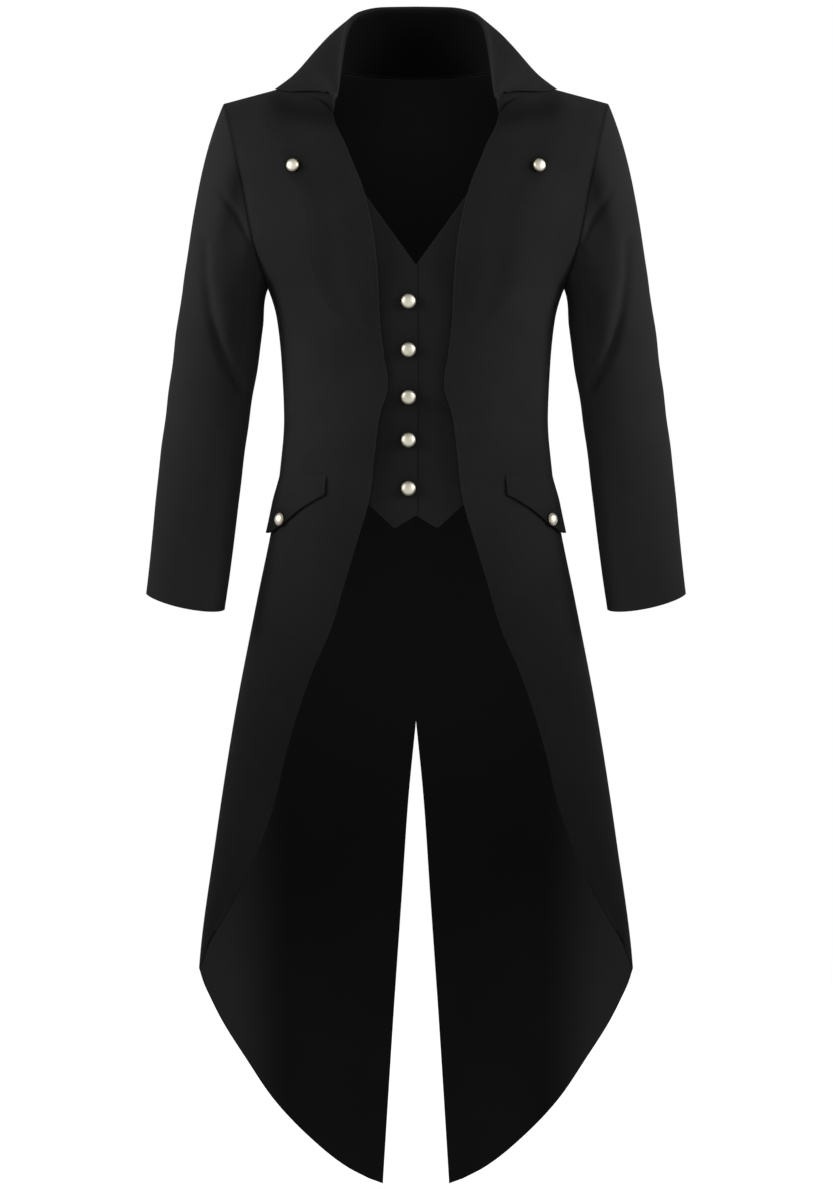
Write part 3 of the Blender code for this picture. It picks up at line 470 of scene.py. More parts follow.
def makeCloth(name, look):
    # Twill: ribs are a sine of the sum of both thread directions, broken up by fine noise for the nap. A
    # groove with painted shade and short threads follow the free edges at one distance, and beside a seam the
    # cloth puckers and has painted shade. A signed tone mixes in the pale colour, for rubbed nap, painted
    # highlights and painted light, or the painted shade.
    material, tree, shader = newMaterial(name)
    place = addNode(tree, "ShaderNodeTexCoord").outputs["Object"]
    across, down = uvPair(tree, "weave")
    away, along = uvPair(tree, "stitch")
    seam, worn, inside = (readAttribute(tree, kind) for kind in ("seam", "worn", "inside"))
    slant, counter = calculate(tree, "ADD", across, down), calculate(tree, "SUBTRACT", across, down)
    rib, yarn = wave(tree, slant, look["ribPitch"]), wave(tree, counter, 2 * look["ribPitch"])
    nap = noise(tree, place, look["napScale"], 3.0, 0.6)
    patch = noise(tree, place, look["patchScale"], 4.0)
    lint = noise(tree, place, look["lintScale"], 2.0)

    offLine = calculate(tree, "ABSOLUTE", calculate(tree, "SUBTRACT", away, look["stitchFromEdge"]))
    groove = fade(tree, offLine, 0.0, look["grooveWidth"])
    covered = fade(tree, wave(tree, along, look["stitchPitch"]), -0.55, -0.15, 0.0, 1.0)
    stitch = calculate(tree, "MULTIPLY", fade(tree, offLine, *look["threadWidth"]), covered)
    # pale along the finished edges and where the tone is above 0: rubbed nap, painted highlights and painted
    # light
    rubbedAndHighlit = calculate(tree, "MAXIMUM", fade(tree, away, *look["edgeWearAndHighlightWidth"], look["edgeWearAndHighlight"]), worn)
    # painted shade beside a seam
    shadeBesideSeam = fade(tree, seam, 0.0, look["seamShadeWidth"])
    pucker = calculate(tree, "MULTIPLY", wave(tree, slant, look["puckerPitch"]),
                       fade(tree, seam, *look["puckerWidth"]))

    mottled = fade(tree, patch, 0.3, 0.7, 0.25, 0.75)
    fleck = calculate(tree, "MULTIPLY_ADD", lint, 0.5, calculate(tree, "MULTIPLY_ADD", nap, 0.4, -0.45))
    dark, pale = (solidColour(look["colour"], times) for times in look["mottling"])
    colour = mixColour(tree, calculate(tree, "ADD", mottled, fleck), dark, pale)
    # the pale colour, painted shade in the groove and beside seams, threads, painted shade where the tone is
    # below 0, and on the collar the painted shade inside the neck
    layers = ((rubbedAndHighlit, 1.0, "worn"), (groove, look["grooveShare"], "grooveShadeColour"),
              (stitch, look["threadShare"], "threadColour"), (shadeBesideSeam, look["seamShadeShare"], "seamShadeColour"),
              (worn, -1.0, "paintedShade"), (inside, 1.0, "neckShadeColour"))
    for where, share, tint in layers:
        colour = mixColour(tree, calculate(tree, "MULTIPLY", where, share), colour, solidColour(look[tint]))
    relief = 0.0
    for part, height in ((yarn, 0.15), (rib, 0.35), (nap, 0.9), (groove, -1.4), (stitch, 1.6), (pucker, 0.5)):
        relief = calculate(tree, "MULTIPLY_ADD", part, height, relief)
    finishShader(tree, shader, look, colour, fade(tree, patch, 0.2, 0.8, *look["roughness"]), relief)
    return material


def makeLining(name, look):
    # Plain weave: the product of two crossed sines. The lining is painted lighter high up, where it lies in
    # shade inside the coat, than down the tails. The attribute inside is 1 on lining and 0 where the tails'
    # inner sides are painted light.
    material, tree, shader = newMaterial(name)
    place = addNode(tree, "ShaderNodeTexCoord").outputs["Object"]
    warp, weft = (wave(tree, way, look["threadPitch"]) for way in uvPair(tree, "weave"))
    patch = noise(tree, place, look["patchScale"])
    height = addNode(tree, "ShaderNodeSeparateXYZ", Vector=place).outputs[2]
    # painted light: lighter above, where the lining lies in shade inside the coat, darker down the tails
    low = fade(tree, height, look["tailTo"], look["tailFrom"])
    lining = mixColour(tree, low, solidColour(look["colour"]), solidColour(look["tailColour"]))
    colour = mixColour(tree, readAttribute(tree, "inside"), solidColour(look["litColour"]), lining)
    colour = mixColour(tree, calculate(tree, "MULTIPLY", patch, look["patchShare"]), colour,
                       solidColour(look["colour"], look["patchDark"]))
    thread = calculate(tree, "MULTIPLY", warp, weft)
    finishShader(tree, shader, look, colour, fade(tree, patch, 0.2, 0.8, *look["roughness"]), thread)
    return material


paleBrass = {
    "colour": (0.54, 0.52, 0.425),
    "tarnishAndShade": (0.15, 0.13, 0.095),
    # painted shade: each dome darker towards its upper left and round its rim
    "shadeTowards": (-0.5, 0.0, 0.87), "shadeShare": 0.78, "rimShade": 0.80,
    "shadeFade": (-0.5, 1.0), "rimFrom": 0.62, "recessAndShadeShare": 0.85,
    "fineScale": 420.0, "wearScale": 110.0, "wear": 0.28,
    "roughness": (0.45, 0.60),
    "bump": 0.12, "bumpDepth": 0.0002,
    "plain": {"Metallic": 1.0},
}


def makeBrass(name, look):
    # Pale brass, darker in the groove at the rim and in fine worn patches, with painted shade on the upper
    # left of each dome and round its rim
    material, tree, shader = newMaterial(name)
    place = addNode(tree, "ShaderNodeTexCoord").outputs["Object"]
    fine = noise(tree, place, look["fineScale"], 4.0, 0.6)
    worn = fade(tree, noise(tree, place, look["wearScale"], 2.0), 0.45, 0.75, 0.0, look["wear"])
    recessAndShade = calculate(tree, "MULTIPLY", readAttribute(tree, "recessAndShade"), look["recessAndShadeShare"])
    share = calculate(tree, "MAXIMUM", recessAndShade, worn)
    colour = mixColour(tree, share, solidColour(look["colour"]), solidColour(look["tarnishAndShade"]))
    finishShader(tree, shader, look, colour, fade(tree, fine, 0.3, 0.7, *look["roughness"]), fine)
    return material


coatBlack = makeCloth("coatTwill", coatCloth)
waistcoatBlack = makeCloth("waistcoatTwill", waistcoatCloth)
liningBlack = makeLining("blackLining", liningCloth)
buttonMetal = makeBrass("paleBrass", paleBrass)
print("materials made")


# Coat front and back

coatFront = {
    # painted shadow under the collar's wing: a route of x, z through its middle, its width and its strength
    "paintedShadowAt": [(0.160, -0.010), (0.130, -0.016), (0.104, -0.020)], "paintedShadowWidth": 0.016, "paintedShade": 0.45,
    # painted shade down the skirt: its strength, and the heights, taken as depths below 0, between which it
    # comes in
    "darkenBy": 0.42, "paintedShadeBetween": (0.36, 0.84),
    "levelUntil": -0.88,
    "armholeRows": 48, "skirtRows": 150, "columns": 60, "crowding": 0.55,
    "pullBack": 0.0024,                      # the edge under the turned-back lapel is cut shorter
    "pullFrom": (-0.335, -0.300), "pullTo": (-0.020, -0.010),  # heights where that sets in and ends
    "cut": (0.30, 1.12, 0.20),               # width, length and area of the flat piece
}
coatBack = {
    "armholeRows": 48, "skirtRows": 190, "columns": 56, "crowding": 0.55,
    "cut": (0.36, 1.40, 0.36),
    "litFrom": 0.150, "litTo": 0.230,        # x over which the lining gives way to painted light on the tail's inner side
    "litBelow": (0.70, 0.86),                # and how far down that sets in
}


def armholeHeights(count):
    # half a turn of cosine, so that the heights crowd at the shoulder and under the arm
    turn = np.linspace(0, math.pi, count + 1)
    top = coatCut["shoulderPoint"][1]
    return top + (coatCut["underarmZ"] - top) * (1 - np.cos(turn)) / 2


def sideHeights(armholeRows, skirtRows, endZ):
    # heights down the armhole and the side, which of them are at the armhole, and their share of its drop
    upper = armholeHeights(armholeRows)
    lower = np.linspace(coatCut["underarmZ"], endZ, skirtRows + 1)[1:]
    lower[np.argmin(np.abs(lower - coatCut["sideCornerZ"]))] = coatCut["sideCornerZ"]
    heights = np.concatenate([upper, lower])
    share = (heights - upper[0]) / (coatCut["underarmZ"] - upper[0])
    return heights, np.arange(len(heights)) < len(upper), share


def rowHeights(x, sideX, sideZ, edgeX, edgeZ):
    # each row runs straight from its side height to its edge height, seen from the front
    return sideZ[:, None] + (edgeZ - sideZ)[:, None] * (sideX[:, None] - x) / (sideX - edgeX)[:, None]


def rowColumns(sideX, sideZ, edgeX, edgeZ, shares):
    # x goes evenly round the section from the side to the inner edge
    first, last = sectionAngle(sideX, sideZ)[:, None], sectionAngle(edgeX, edgeZ)[:, None]
    z = sideZ[:, None] + (edgeZ - sideZ)[:, None] * shares
    x = section(z, 1) * np.sin(first + (last - first) * shares) ** (2 / section(z, 4))
    x[:, 0], x[:, -1] = sideX, edgeX
    return x


def skirtRipple(x, z):
    # Soft unevenness of hanging cloth: three slow waves, which grow from the waist to the hem
    least, more = coatCut["ripple"]
    waves = np.sin(31 * x + 2.1 * np.sin(3.1 * z)) + 0.6 * np.sin(53 * x - 4.3 * z + 1.0)
    waves = waves + 0.5 * np.sin(17 * z + 9 * x)
    return (least + more * smoothStep(-z, *coatCut["rippleBetween"])) * waves


def layDents(points, dents, awayFromEdge):
    # each dent is a trough: its depth times a bell curve of the distance to its route
    depth = -skirtRipple(points[..., 0], points[..., 2])
    for route, deep, wide in dents:
        depth += deep * np.exp(-(routeDistance(points[..., 0], points[..., 2], route) / wide) ** 2)
    return points - bodyNormals(points) * (depth * awayFromEdge)[..., None]


def offSeam(offset, across, thickness):
    # an offset that would cross the seam plane is turned back along it
    kept = offset - np.maximum(np.sum(offset * across, axis=-1, keepdims=True), 0) * across
    return unit(kept) * thickness


def armholeAcross():
    # square to the line from the shoulder point to the underarm, seen from the front
    (topX, topZ), (lowZ, lowX) = coatCut["shoulderPoint"], coatCut["armhole"][-1]
    length = math.hypot(lowZ - topZ, lowX - topX)
    return np.array([-(lowZ - topZ) / length, 0, (lowX - topX) / length])


def seamPlanes(grid, seamSide, armholeRows, centreSeam):
    # the seam plane's normal at each sewn border point: shoulder, armhole, side and centre back
    planes = np.zeros(grid.shape)
    planes[0] = (0, seamSide, 0)
    planes[:armholeRows + 1, 0] = armholeAcross()
    below = np.arange(len(grid)) > armholeRows
    aboveCorner = grid[:, 0, 2] >= coatCut["sideCornerZ"] - 1e-6
    planes[below & aboveCorner, 0] = (0, seamSide, 0)
    if centreSeam:
        planes[grid[:, -1, 2] > coatCut["ventTopZ"], -1] = (-1, 0, 0)
    return planes


def innerFace(outer, planes):
    # the outer face moved in by the wall's thickness along its normal, and along the seam plane at a seam
    offset = -coatCut["wall"] * bodyNormals(outer)
    turned = offSeam(offset, planes, coatCut["wall"])
    return outer + np.where(np.any(planes != 0, axis=2, keepdims=True), turned, offset)


def seamFade(grid):
    # 0 at a seam or an edge, 1 beyond the width of the fade, so that neighbouring pieces still meet
    across, down = pathLengths(grid, 1), pathLengths(grid, 0)
    near = np.minimum(np.minimum(across, across[:, -1:] - across), np.minimum(down, down[-1:] - down))
    return smoothStep(near, 0.0, coatCut["dentFade"])


def frontGrid():
    # Rows run from the armhole, then the side seam, to the front edge; columns from the shoulder to the hem.
    # Below the arm they are level down to levelUntil, and then slant to the skirt's corner.
    sideZ, high, share = sideHeights(coatFront["armholeRows"], coatFront["skirtRows"], coatCut["sideCornerZ"])
    neckZ, underarmZ = coatCut["neckPoint"][1], coatCut["underarmZ"]
    lowEdge = curveThrough(sideZ, [(sideZ[0], neckZ), (underarmZ, underarmZ),
                                   (coatFront["levelUntil"], coatFront["levelUntil"]),
                                   (coatCut["sideCornerZ"], coatCut["frontCornerZ"])])
    edgeZ = np.where(high, neckZ + share * (underarmZ - neckZ), lowEdge)
    sideX = np.where(high, curveThrough(sideZ, coatCut["armhole"]), section(sideZ, 1))
    underLapel = smoothStep(edgeZ, *coatFront["pullFrom"]) * (1 - smoothStep(edgeZ, *coatFront["pullTo"]))
    edgeX = curveThrough(edgeZ, coatCut["frontEdge"]) + coatFront["pullBack"] * underLapel
    x = rowColumns(sideX, sideZ, edgeX, edgeZ, edgeSpread(coatFront["columns"], coatFront["crowding"]))
    return frontPoint(x, rowHeights(x, sideX, sideZ, edgeX, edgeZ))


def backGrid():
    # Rows run from the armhole, the side seam, then the tail's hem to the centre back. The neck edge is the
    # top row.
    hemEnd = coatCut["tailHem"][-1][0]
    sideZ, high, share = sideHeights(coatBack["armholeRows"], coatBack["skirtRows"], hemEnd)
    hemX = curveThrough(sideZ, coatCut["tailHem"])
    lowX = np.where(sideZ >= coatCut["sideCornerZ"], section(sideZ, 1), hemX)
    sideX = np.where(high, curveThrough(sideZ, coatCut["armhole"]), lowX)
    tipDrop = smoothStep(-sideZ, -coatCut["sideCornerZ"], -hemEnd)
    edgeZ = sideZ + (coatCut["tailTipZ"] - hemEnd) * tipDrop
    edgeX = np.where(edgeZ > coatCut["ventTopZ"], 0.0, curveThrough(edgeZ, coatCut["ventEdge"]))
    x = rowColumns(sideX, sideZ, edgeX, edgeZ, edgeSpread(coatBack["columns"], coatBack["crowding"]))
    neckX, neckZ = coatCut["neckPoint"]
    neck = coatCut["backNeckZ"] + (neckZ - coatCut["backNeckZ"]) * np.clip(x / neckX, 0, 1) ** 2
    top = np.where(x < neckX, neck, shoulderLine(x))
    upperZ = top + share[:, None] * (coatCut["underarmZ"] - top)
    z = np.where(high[:, None], upperZ, rowHeights(x, sideX, sideZ, edgeX, edgeZ))
    z[:, 0] = sideZ
    return backPoint(x, z)


button = {
    "largeRadius": 0.0086, "smallRadius": 0.0076,
    "waistcoatX": -0.0090, "waistcoatZ": (-0.2420, -0.3000, -0.3566, -0.4084, -0.4664),
    "lapelAt": (0.1468, -0.0796), "flapAt": (0.1622, -0.5040),
    "shankRadius": 0.0034, "shankHeight": 0.0016, "rimHeight": 0.0028, "domeRise": 0.46,
    "gap": 0.0003, "sides": 64,
    "bed": 0.0011, "bedWidth": 0.012,        # the cloth gives way a little round a button
    "ring": 0.45, "shadowRingWidth": 0.0125,       # and a painted shadow ring darkens it there
    "flapTurn": 0.25,                        # the flap's button faces forwards by this much more
    # shares are of the radius, the rest is metres
    "footShare": 0.90, "footRise": 0.0002, "beadShare": 0.045, "beadHeight": 0.0005,
    "grooveShare": 0.945, "grooveDepth": 0.0004, "domeShare": 0.935,
}


def shadowRoundButtons(grid, places):
    # painted shadow: the cloth is darkened round each button's place x, z, in a bell curve
    dark = np.zeros(grid.shape[:2])
    for x, z in places:
        far = np.hypot(grid[..., 0] - x, grid[..., 2] - z) / button["shadowRingWidth"]
        dark = np.maximum(dark, button["ring"] * np.exp(-far ** 2))
    return -dark


def shadeDownSkirt(grid):
    # painted shade: the cloth is darker down the skirt, where less light falls
    return -coatFront["darkenBy"] * smoothStep(-grid[..., 2], *coatFront["paintedShadeBetween"])


def shadowUnderCollar(grid):
    # painted shadow: the cloth is darkened under the wing of the collar, in a bell curve from the middle of
    # that place
    far = routeDistance(grid[..., 0], grid[..., 2], coatFront["paintedShadowAt"]) / coatFront["paintedShadowWidth"]
    return -coatFront["paintedShade"] * np.exp(-far ** 2)


front = frontGrid()
front = layDents(front, coatCut["dents"], seamFade(front))
back = backGrid()
back = layDents(back, [], seamFade(back))
frontSewn = seamPlanes(front, 1.0, coatFront["armholeRows"], False)
backSewn = seamPlanes(back, -1.0, coatBack["armholeRows"], True)
frontInner, backInner = innerFace(front, frontSewn), innerFace(back, backSewn)
# painted light on the inner side of each tail, near its side and low down
tailSideLight = smoothStep(backInner[..., 0], coatBack["litFrom"], coatBack["litTo"])
tailSideLight = tailSideLight * smoothStep(-backInner[..., 2], *coatBack["litBelow"])
for side in ("left", "right"):
    mirrored = side == "left"
    # painted shadow under the collar and painted shade down the skirt
    piece = clothWall("coatFront_" + side, front, frontInner, [coatBlack, liningBlack], frontSewn,
                      ("last", "bottom"), 1.0, shadowUnderCollar(front) + shadeDownSkirt(front), mirrored=mirrored)
    dress(piece, "front_" + side)
    piece = clothWall("coatBack_" + side, back, backInner, [coatBlack, liningBlack], backSewn,
                      ("first", "last", "bottom"), 1.0 - tailSideLight, shadeDownSkirt(back), mirrored=mirrored)
    dress(piece, "back_" + side)
print("coat body made")


# Sleeves

sleeve = {
    "wall": 0.0016,
    "ringCells": 48, "underFrom": 32,        # the under piece starts two thirds of the way round
    "capRows": 44, "armRows": 130,
    "capStart": (0.38, 0.0, -0.92), "armDirection": (0.125, 0.0, -0.992),
    # height, x, y, half width, half depth, tilt in degrees
    "sections": [
        (-0.2520, 0.2320, 0.0000, 0.0530, 0.0620, 25.0), (-0.3000, 0.2388, 0.0010, 0.0515, 0.0600, 14.0),
        (-0.3600, 0.2474, 0.0010, 0.0506, 0.0580, 9.0), (-0.4320, 0.2568, -0.0040, 0.0500, 0.0545, 8.0),
        (-0.5040, 0.2650, -0.0120, 0.0494, 0.0510, 8.5), (-0.5600, 0.2712, -0.0200, 0.0490, 0.0480, 10.0),
        (-0.6024, 0.2766, -0.0270, 0.0484, 0.0460, 11.4)],
    "cuffDip": 0.0080, "cuffDipPower": 1.3,
    # folds on the front: route of x, z, depth and width in metres
    "folds": [([(0.234, -0.112), (0.215, -0.138), (0.192, -0.176)], 0.0027, 0.0044),
              ([(0.2560, -0.172), (0.2530, -0.212), (0.2472, -0.250), (0.2370, -0.290), (0.2250, -0.320),
                (0.2080, -0.345)], 0.0062, 0.0058),
              ([(0.247, -0.205), (0.240, -0.245), (0.228, -0.285)], -0.0014, 0.009),
              ([(0.232, -0.236), (0.222, -0.268), (0.206, -0.292)], -0.0018, 0.012),
              ([(0.262, -0.378), (0.240, -0.392), (0.222, -0.388)], 0.0014, 0.009),
              ([(0.290, -0.455), (0.262, -0.470), (0.240, -0.466)], 0.0012, 0.010)],
    "foldFacing": (0.05, 0.5), "foldFade": 0.02,  # they fade round the sleeve's side and at the armhole
    "upperCut": (0.27, 0.70, 0.150), "underCut": (0.14, 0.48, 0.054),
    # painted light: the sleeve is lighter all round, and much more so on the inner front, at this share of
    # the round, where the body shades it
    "worn": 0.12, "innerPaintedLight": 0.80, "innerAt": 0.42, "innerWidth": 0.10,
    "elbowZ": -0.32, "elbowReach": 0.13,     # low waves lie round the arm there
    "elbowWave": 0.0004, "armWave": 0.0003, "waveFade": 0.06,
}


def sleeveGrid():
    # The cap leaves the armhole and reaches the first arm section on a cubic curve. Below it each section is
    # a tilted ellipse. A row is one round, which starts at the shoulder point and goes forwards.
    heights = armholeHeights(sleeve["ringCells"])
    x = curveThrough(heights, coatCut["armhole"])
    ahead, behind = frontPoint(x, heights), backPoint(x, heights)
    ring = np.concatenate([ahead, behind[-2:0:-1]])
    closed = np.concatenate([ring, ring[:1]])
    length = np.linalg.norm(np.diff(closed, axis=0), axis=1)
    half = sleeve["ringCells"]
    runAhead = np.concatenate([[0], np.cumsum(length[:half])])
    runBehind = np.concatenate([[0], np.cumsum(length[half:])])
    turn = math.pi * np.concatenate([runAhead / runAhead[-1], (1 + runBehind / runBehind[-1])[1:-1]])
    rows = np.array(sleeve["sections"])

    def armSection(height):
        column = [curveThrough(height, rows[:, [0, k]])[:, None] for k in range(1, 6)]
        tilt = np.radians(column[4])
        outwards, forwards = column[2] * np.cos(turn), column[3] * np.sin(turn)
        dip = sleeve["cuffDip"] * smoothStep(-height, -rows[-2, 0], -rows[-1, 0])[:, None]
        z = height[:, None] + outwards * np.sin(tilt) - dip * np.abs(np.sin(turn)) ** sleeve["cuffDipPower"]
        return np.stack([column[0] + outwards * np.cos(tilt), column[1] - forwards, z], axis=-1)

    capEnd = armSection(rows[:1, 0])[0]
    reach = np.linalg.norm(capEnd - ring, axis=1, keepdims=True)
    t = np.linspace(0, 1, sleeve["capRows"] + 1)[:, None, None]
    leaving, arriving = (reach * np.array(sleeve[name]) for name in ("capStart", "armDirection"))
    cap = cubic(t, ring, leaving, capEnd, arriving)
    arm = armSection(np.linspace(rows[0, 0], rows[-1, 0], sleeve["armRows"] + 1)[1:])
    return np.concatenate([cap, arm])


def tubeNormals(grid):
    # as gridNormals on a closed round, pointing away from each row's middle
    wrapped = np.concatenate([grid[:, -1:], grid, grid[:, :1]], axis=1)
    normal = gridNormals(wrapped)[:, 1:-1]
    return normal if np.sum(normal * (grid - grid.mean(axis=1, keepdims=True))) > 0 else -normal


def creaseSleeve(grid):
    # Troughs and ridges along their routes, a bell curve across, where the sleeve faces the front, and low
    # waves round the arm, most of them at the elbow
    normal = tubeNormals(grid)
    down = pathLengths(grid, 0)
    facing = smoothStep(-normal[..., 1], *sleeve["foldFacing"]) * smoothStep(down, 0.0, sleeve["foldFade"])
    depth = np.zeros(grid.shape[:2])
    for route, deep, wide in sleeve["folds"]:
        depth += deep * np.exp(-(routeDistance(grid[..., 0], grid[..., 2], route) / wide) ** 2) * facing
    x, y, z = grid[..., 0], grid[..., 1], grid[..., 2]
    waves = sleeve["elbowWave"] * np.exp(-((z - sleeve["elbowZ"]) / sleeve["elbowReach"]) ** 2)
    waves = waves * np.sin(95 * z + 22 * x + 14 * y) + sleeve["armWave"] * np.sin(38 * z + 50 * x - 31 * y)
    depth += waves * smoothStep(down, 0.0, sleeve["waveFade"])
    return grid - normal * depth[..., None]


tube = creaseSleeve(sleeveGrid())
tubeOffset = -sleeve["wall"] * tubeNormals(tube)
tubeOffset[0] = offSeam(tubeOffset[0], -armholeAcross(), sleeve["wall"])
around = tube.shape[1]
firstSeam, lastSeam = sleeve["underFrom"], around - sleeve["underFrom"]
sleeveColumns = {"upper": np.arange(lastSeam, around + firstSeam + 1) % around,
                 "under": np.arange(firstSeam, lastSeam + 1)}
# painted light round the sleeve, strongest on the inner front
fromInner = (np.arange(around) / around - sleeve["innerAt"]) / sleeve["innerWidth"]
sleevePaintedLight = sleeve["worn"] + sleeve["innerPaintedLight"] * np.exp(-fromInner ** 2)
for part, columns in sleeveColumns.items():
    outer = tube[:, columns]
    sewn = np.zeros(outer.shape)
    sewn[:, 0], sewn[:, -1] = unit(outer[:, 0] - outer[:, 1]), unit(outer[:, -1] - outer[:, -2])
    sewn[0] = -armholeAcross()
    armholeOnly = np.zeros(outer.shape[:2], dtype=bool)
    armholeOnly[0] = True
    for side in ("left", "right"):
        piece = clothWall(part + "Sleeve_" + side, outer, outer + tubeOffset[:, columns],
                          [coatBlack, liningBlack], sewn, (), 1.0, sleevePaintedLight[columns], armholeOnly,
                          mirrored=side == "left")
        dress(piece, "sleeve_" + part + "_" + side)
print("sleeves made")


# Collar

collar = {
    "wall": 0.0024, "thinEdge": 0.45, "thinReach": 0.016,  # the fall thins out towards its edge
    "around": 200, "standRows": 22, "foldRows": 12, "fallRows": 34,
    "foldRadius": [(0.0, 0.0030), (0.6, 0.0026), (1.0, 0.0015)],
    "footLift": 0.0011, "footDrop": 0.0016, "footInwards": 0.0012,
    "sunkUntil": (0.50, 0.66), "turnFrom": 0.55,  # steps where the foot comes up, and starts to face forwards
    "edgeLean": (0.88, 5.0, 0.9),
    # how far the fall's edge stands off the coat, from the centre back (0) to the front end (1)
    "edgeLift": [(0.0, 0.0042), (0.36, 0.0034), (0.48, 0.0014), (0.60, 0.0014), (0.74, 0.0030),
                 (0.88, 0.0040), (1.0, 0.0034)],
    "fallBelly": 0.0028, "fallFlare": 0.0030,  # the fall swells out below the fold and hollows above its edge
    "standBelly": 0.0020,
    "crest": 0.8, "crestWearAndHighlight": 0.55, "crestWidth": 3.0, "darkenBy": 0.10,  # the fold's crest is paler, rubbed nap with a painted highlight, and the rest is darker
    "neckFade": (-5, 1),                     # columns round the stand's end over which the painted shade on its inside fades
    # step from centre back to front end, side (1 back, -1 front), neck x z, fold x y z, edge x z
    "line": [(0.00, 1, 0.0000, 0.0270, 0.0000, 0.0820, 0.1120, 0.0000, 0.0020),
             (0.16, 1, 0.0400, 0.0285, 0.0400, 0.0760, 0.1112, 0.0560, 0.0030),
             (0.30, 1, 0.0690, 0.0308, 0.0660, 0.0580, 0.1060, 0.1120, 0.0060),
             (0.42, 1, 0.0860, 0.0332, 0.0815, 0.0340, 0.0930, 0.1520, 0.0120),
             (0.54, 0, 0.0920, 0.0338, 0.0878, 0.0040, 0.0730, 0.1690, 0.0118),
             (0.68, -1, 0.0935, 0.0275, 0.0912, -0.0260, 0.0490, 0.1480, 0.0080),
             (0.84, -1, 0.0964, 0.0125, 0.0938, -0.0550, 0.0255, 0.1250, 0.0070),
             (1.00, -1, 0.0984, -0.0090, 0.0958, -0.0790, 0.0045, 0.1050, 0.0060)],
    "cut": (0.58, 0.19, 0.080),
}


def collarGrid():
    # Each section goes up the stand, half round the fold line and down the fall
    across = np.linspace(-1, 1, collar["around"] + 1)
    step, hand = np.abs(across), np.where(across < 0, -1.0, 1.0)
    rows = np.array(collar["line"])
    columns = (curveThrough(step, rows[:, [0, k]]) for k in range(1, 9))
    sideOf, neckX, neckZ, foldX, foldY, foldZ, edgeX, edgeZ = columns
    behind = (sideOf >= 0)[:, None]
    neck = np.where(behind, backPoint(neckX, neckZ), frontPoint(neckX, neckZ))
    edge = np.where(behind, backPoint(edgeX, edgeZ), frontPoint(edgeX, edgeZ))
    lean = np.array(collar["edgeLean"])
    lean = np.stack([lean[0] * edge[:, 0], lean[1] * edge[:, 1], np.full(len(edge), lean[2])], axis=1)
    edge = edge + curveThrough(step, collar["edgeLift"])[:, None] * unit(lean)
    fold = np.stack([foldX, foldY, foldZ], axis=1)
    outwards = unit((edge - fold) * np.array([1, 1, 0]))
    up = np.array([0, 0, 1.0])
    forwards = smoothStep(step, collar["turnFrom"], 1.0)
    off = unit(np.stack([0 * step, -forwards, 1 - 0.6 * forwards], axis=1))
    # behind the shoulder seam the foot sinks into the coat's neck edge, in line with its wall
    sunk = (1 - smoothStep(step, *collar["sunkUntil"]))[:, None]
    sinking = collar["footDrop"] * up + collar["footInwards"] * outwards
    foot = neck + collar["footLift"] * off - sunk * sinking
    radius = curveThrough(step, collar["foldRadius"])[:, None]
    centre = fold - radius * up
    head = centre - radius * outwards
    share = np.linspace(0, 1, collar["standRows"] + 1)[None, :-1, None]
    belly = collar["standBelly"] * np.sin(np.pi * share) * outwards[:, None]
    stand = foot[:, None] + (head - foot)[:, None] * share + belly
    # the roll ends where it points along the fall's first stretch
    reach, drop = np.sum((edge - fold) * outwards, axis=1), fold[:, 2] - edge[:, 2]
    startSlope = np.pi * collar["fallBelly"] + 2 * np.pi * collar["fallFlare"]
    endTurn = np.arctan2(reach, drop) + startSlope / np.hypot(reach, drop)
    share = np.linspace(0, 1, collar["foldRows"] + 1)[None, :, None]
    turn = math.pi + (endTurn[:, None, None] - math.pi) * share
    roll = centre[:, None] + radius[:, None] * (outwards[:, None] * np.cos(turn) + up * np.sin(turn))
    share = np.linspace(0, 1, collar["fallRows"] + 1)[None, 1:, None]
    fallHead = roll[:, -1]
    along = unit(edge - fallHead)
    swell = unit(squareTo(outwards, along))
    bend = collar["fallBelly"] * np.sin(np.pi * share) + collar["fallFlare"] * np.sin(2 * np.pi * share)
    fall = fallHead[:, None] + (edge - fallHead)[:, None] * share + bend * swell[:, None]
    middle = np.concatenate([stand, roll, fall], axis=1)
    return middle * np.stack([hand, np.ones_like(hand), np.ones_like(hand)], axis=1)[:, None]


collarMiddle = collarGrid()
collarColumn = np.arange(collarMiddle.shape[1])
fromEdge = pathLengths(collarMiddle, 1)
fromEdge = fromEdge[:, -1:] - fromEdge
halfWall = gridNormals(collarMiddle) * (thinTowards(fromEdge, collar) * collar["wall"] / 2)[..., None]
standEnd = collar["standRows"] + collar["foldRows"] / 4
# painted shade on the stand's neck side, fading out round the fold
neckShade = 1 - smoothStep(collarColumn - standEnd, *collar["neckFade"])
fromCrest = (collarColumn - collar["standRows"] - collar["foldRows"] * collar["crest"]) / collar["crestWidth"]
# rubbed nap with a painted highlight along the fold's crest, the rest of the collar darker
foldWearAndHighlight = collar["crestWearAndHighlight"] * np.exp(-fromCrest ** 2) - collar["darkenBy"]
collarPiece = clothWall("collar_turnedOver", collarMiddle + halfWall, collarMiddle - halfWall, [coatBlack],
                        stitched=("last", "top", "bottom"), inside=neckShade, worn=foldWearAndHighlight)
dress(collarPiece, "collar")
print("collar made")


# Lapels

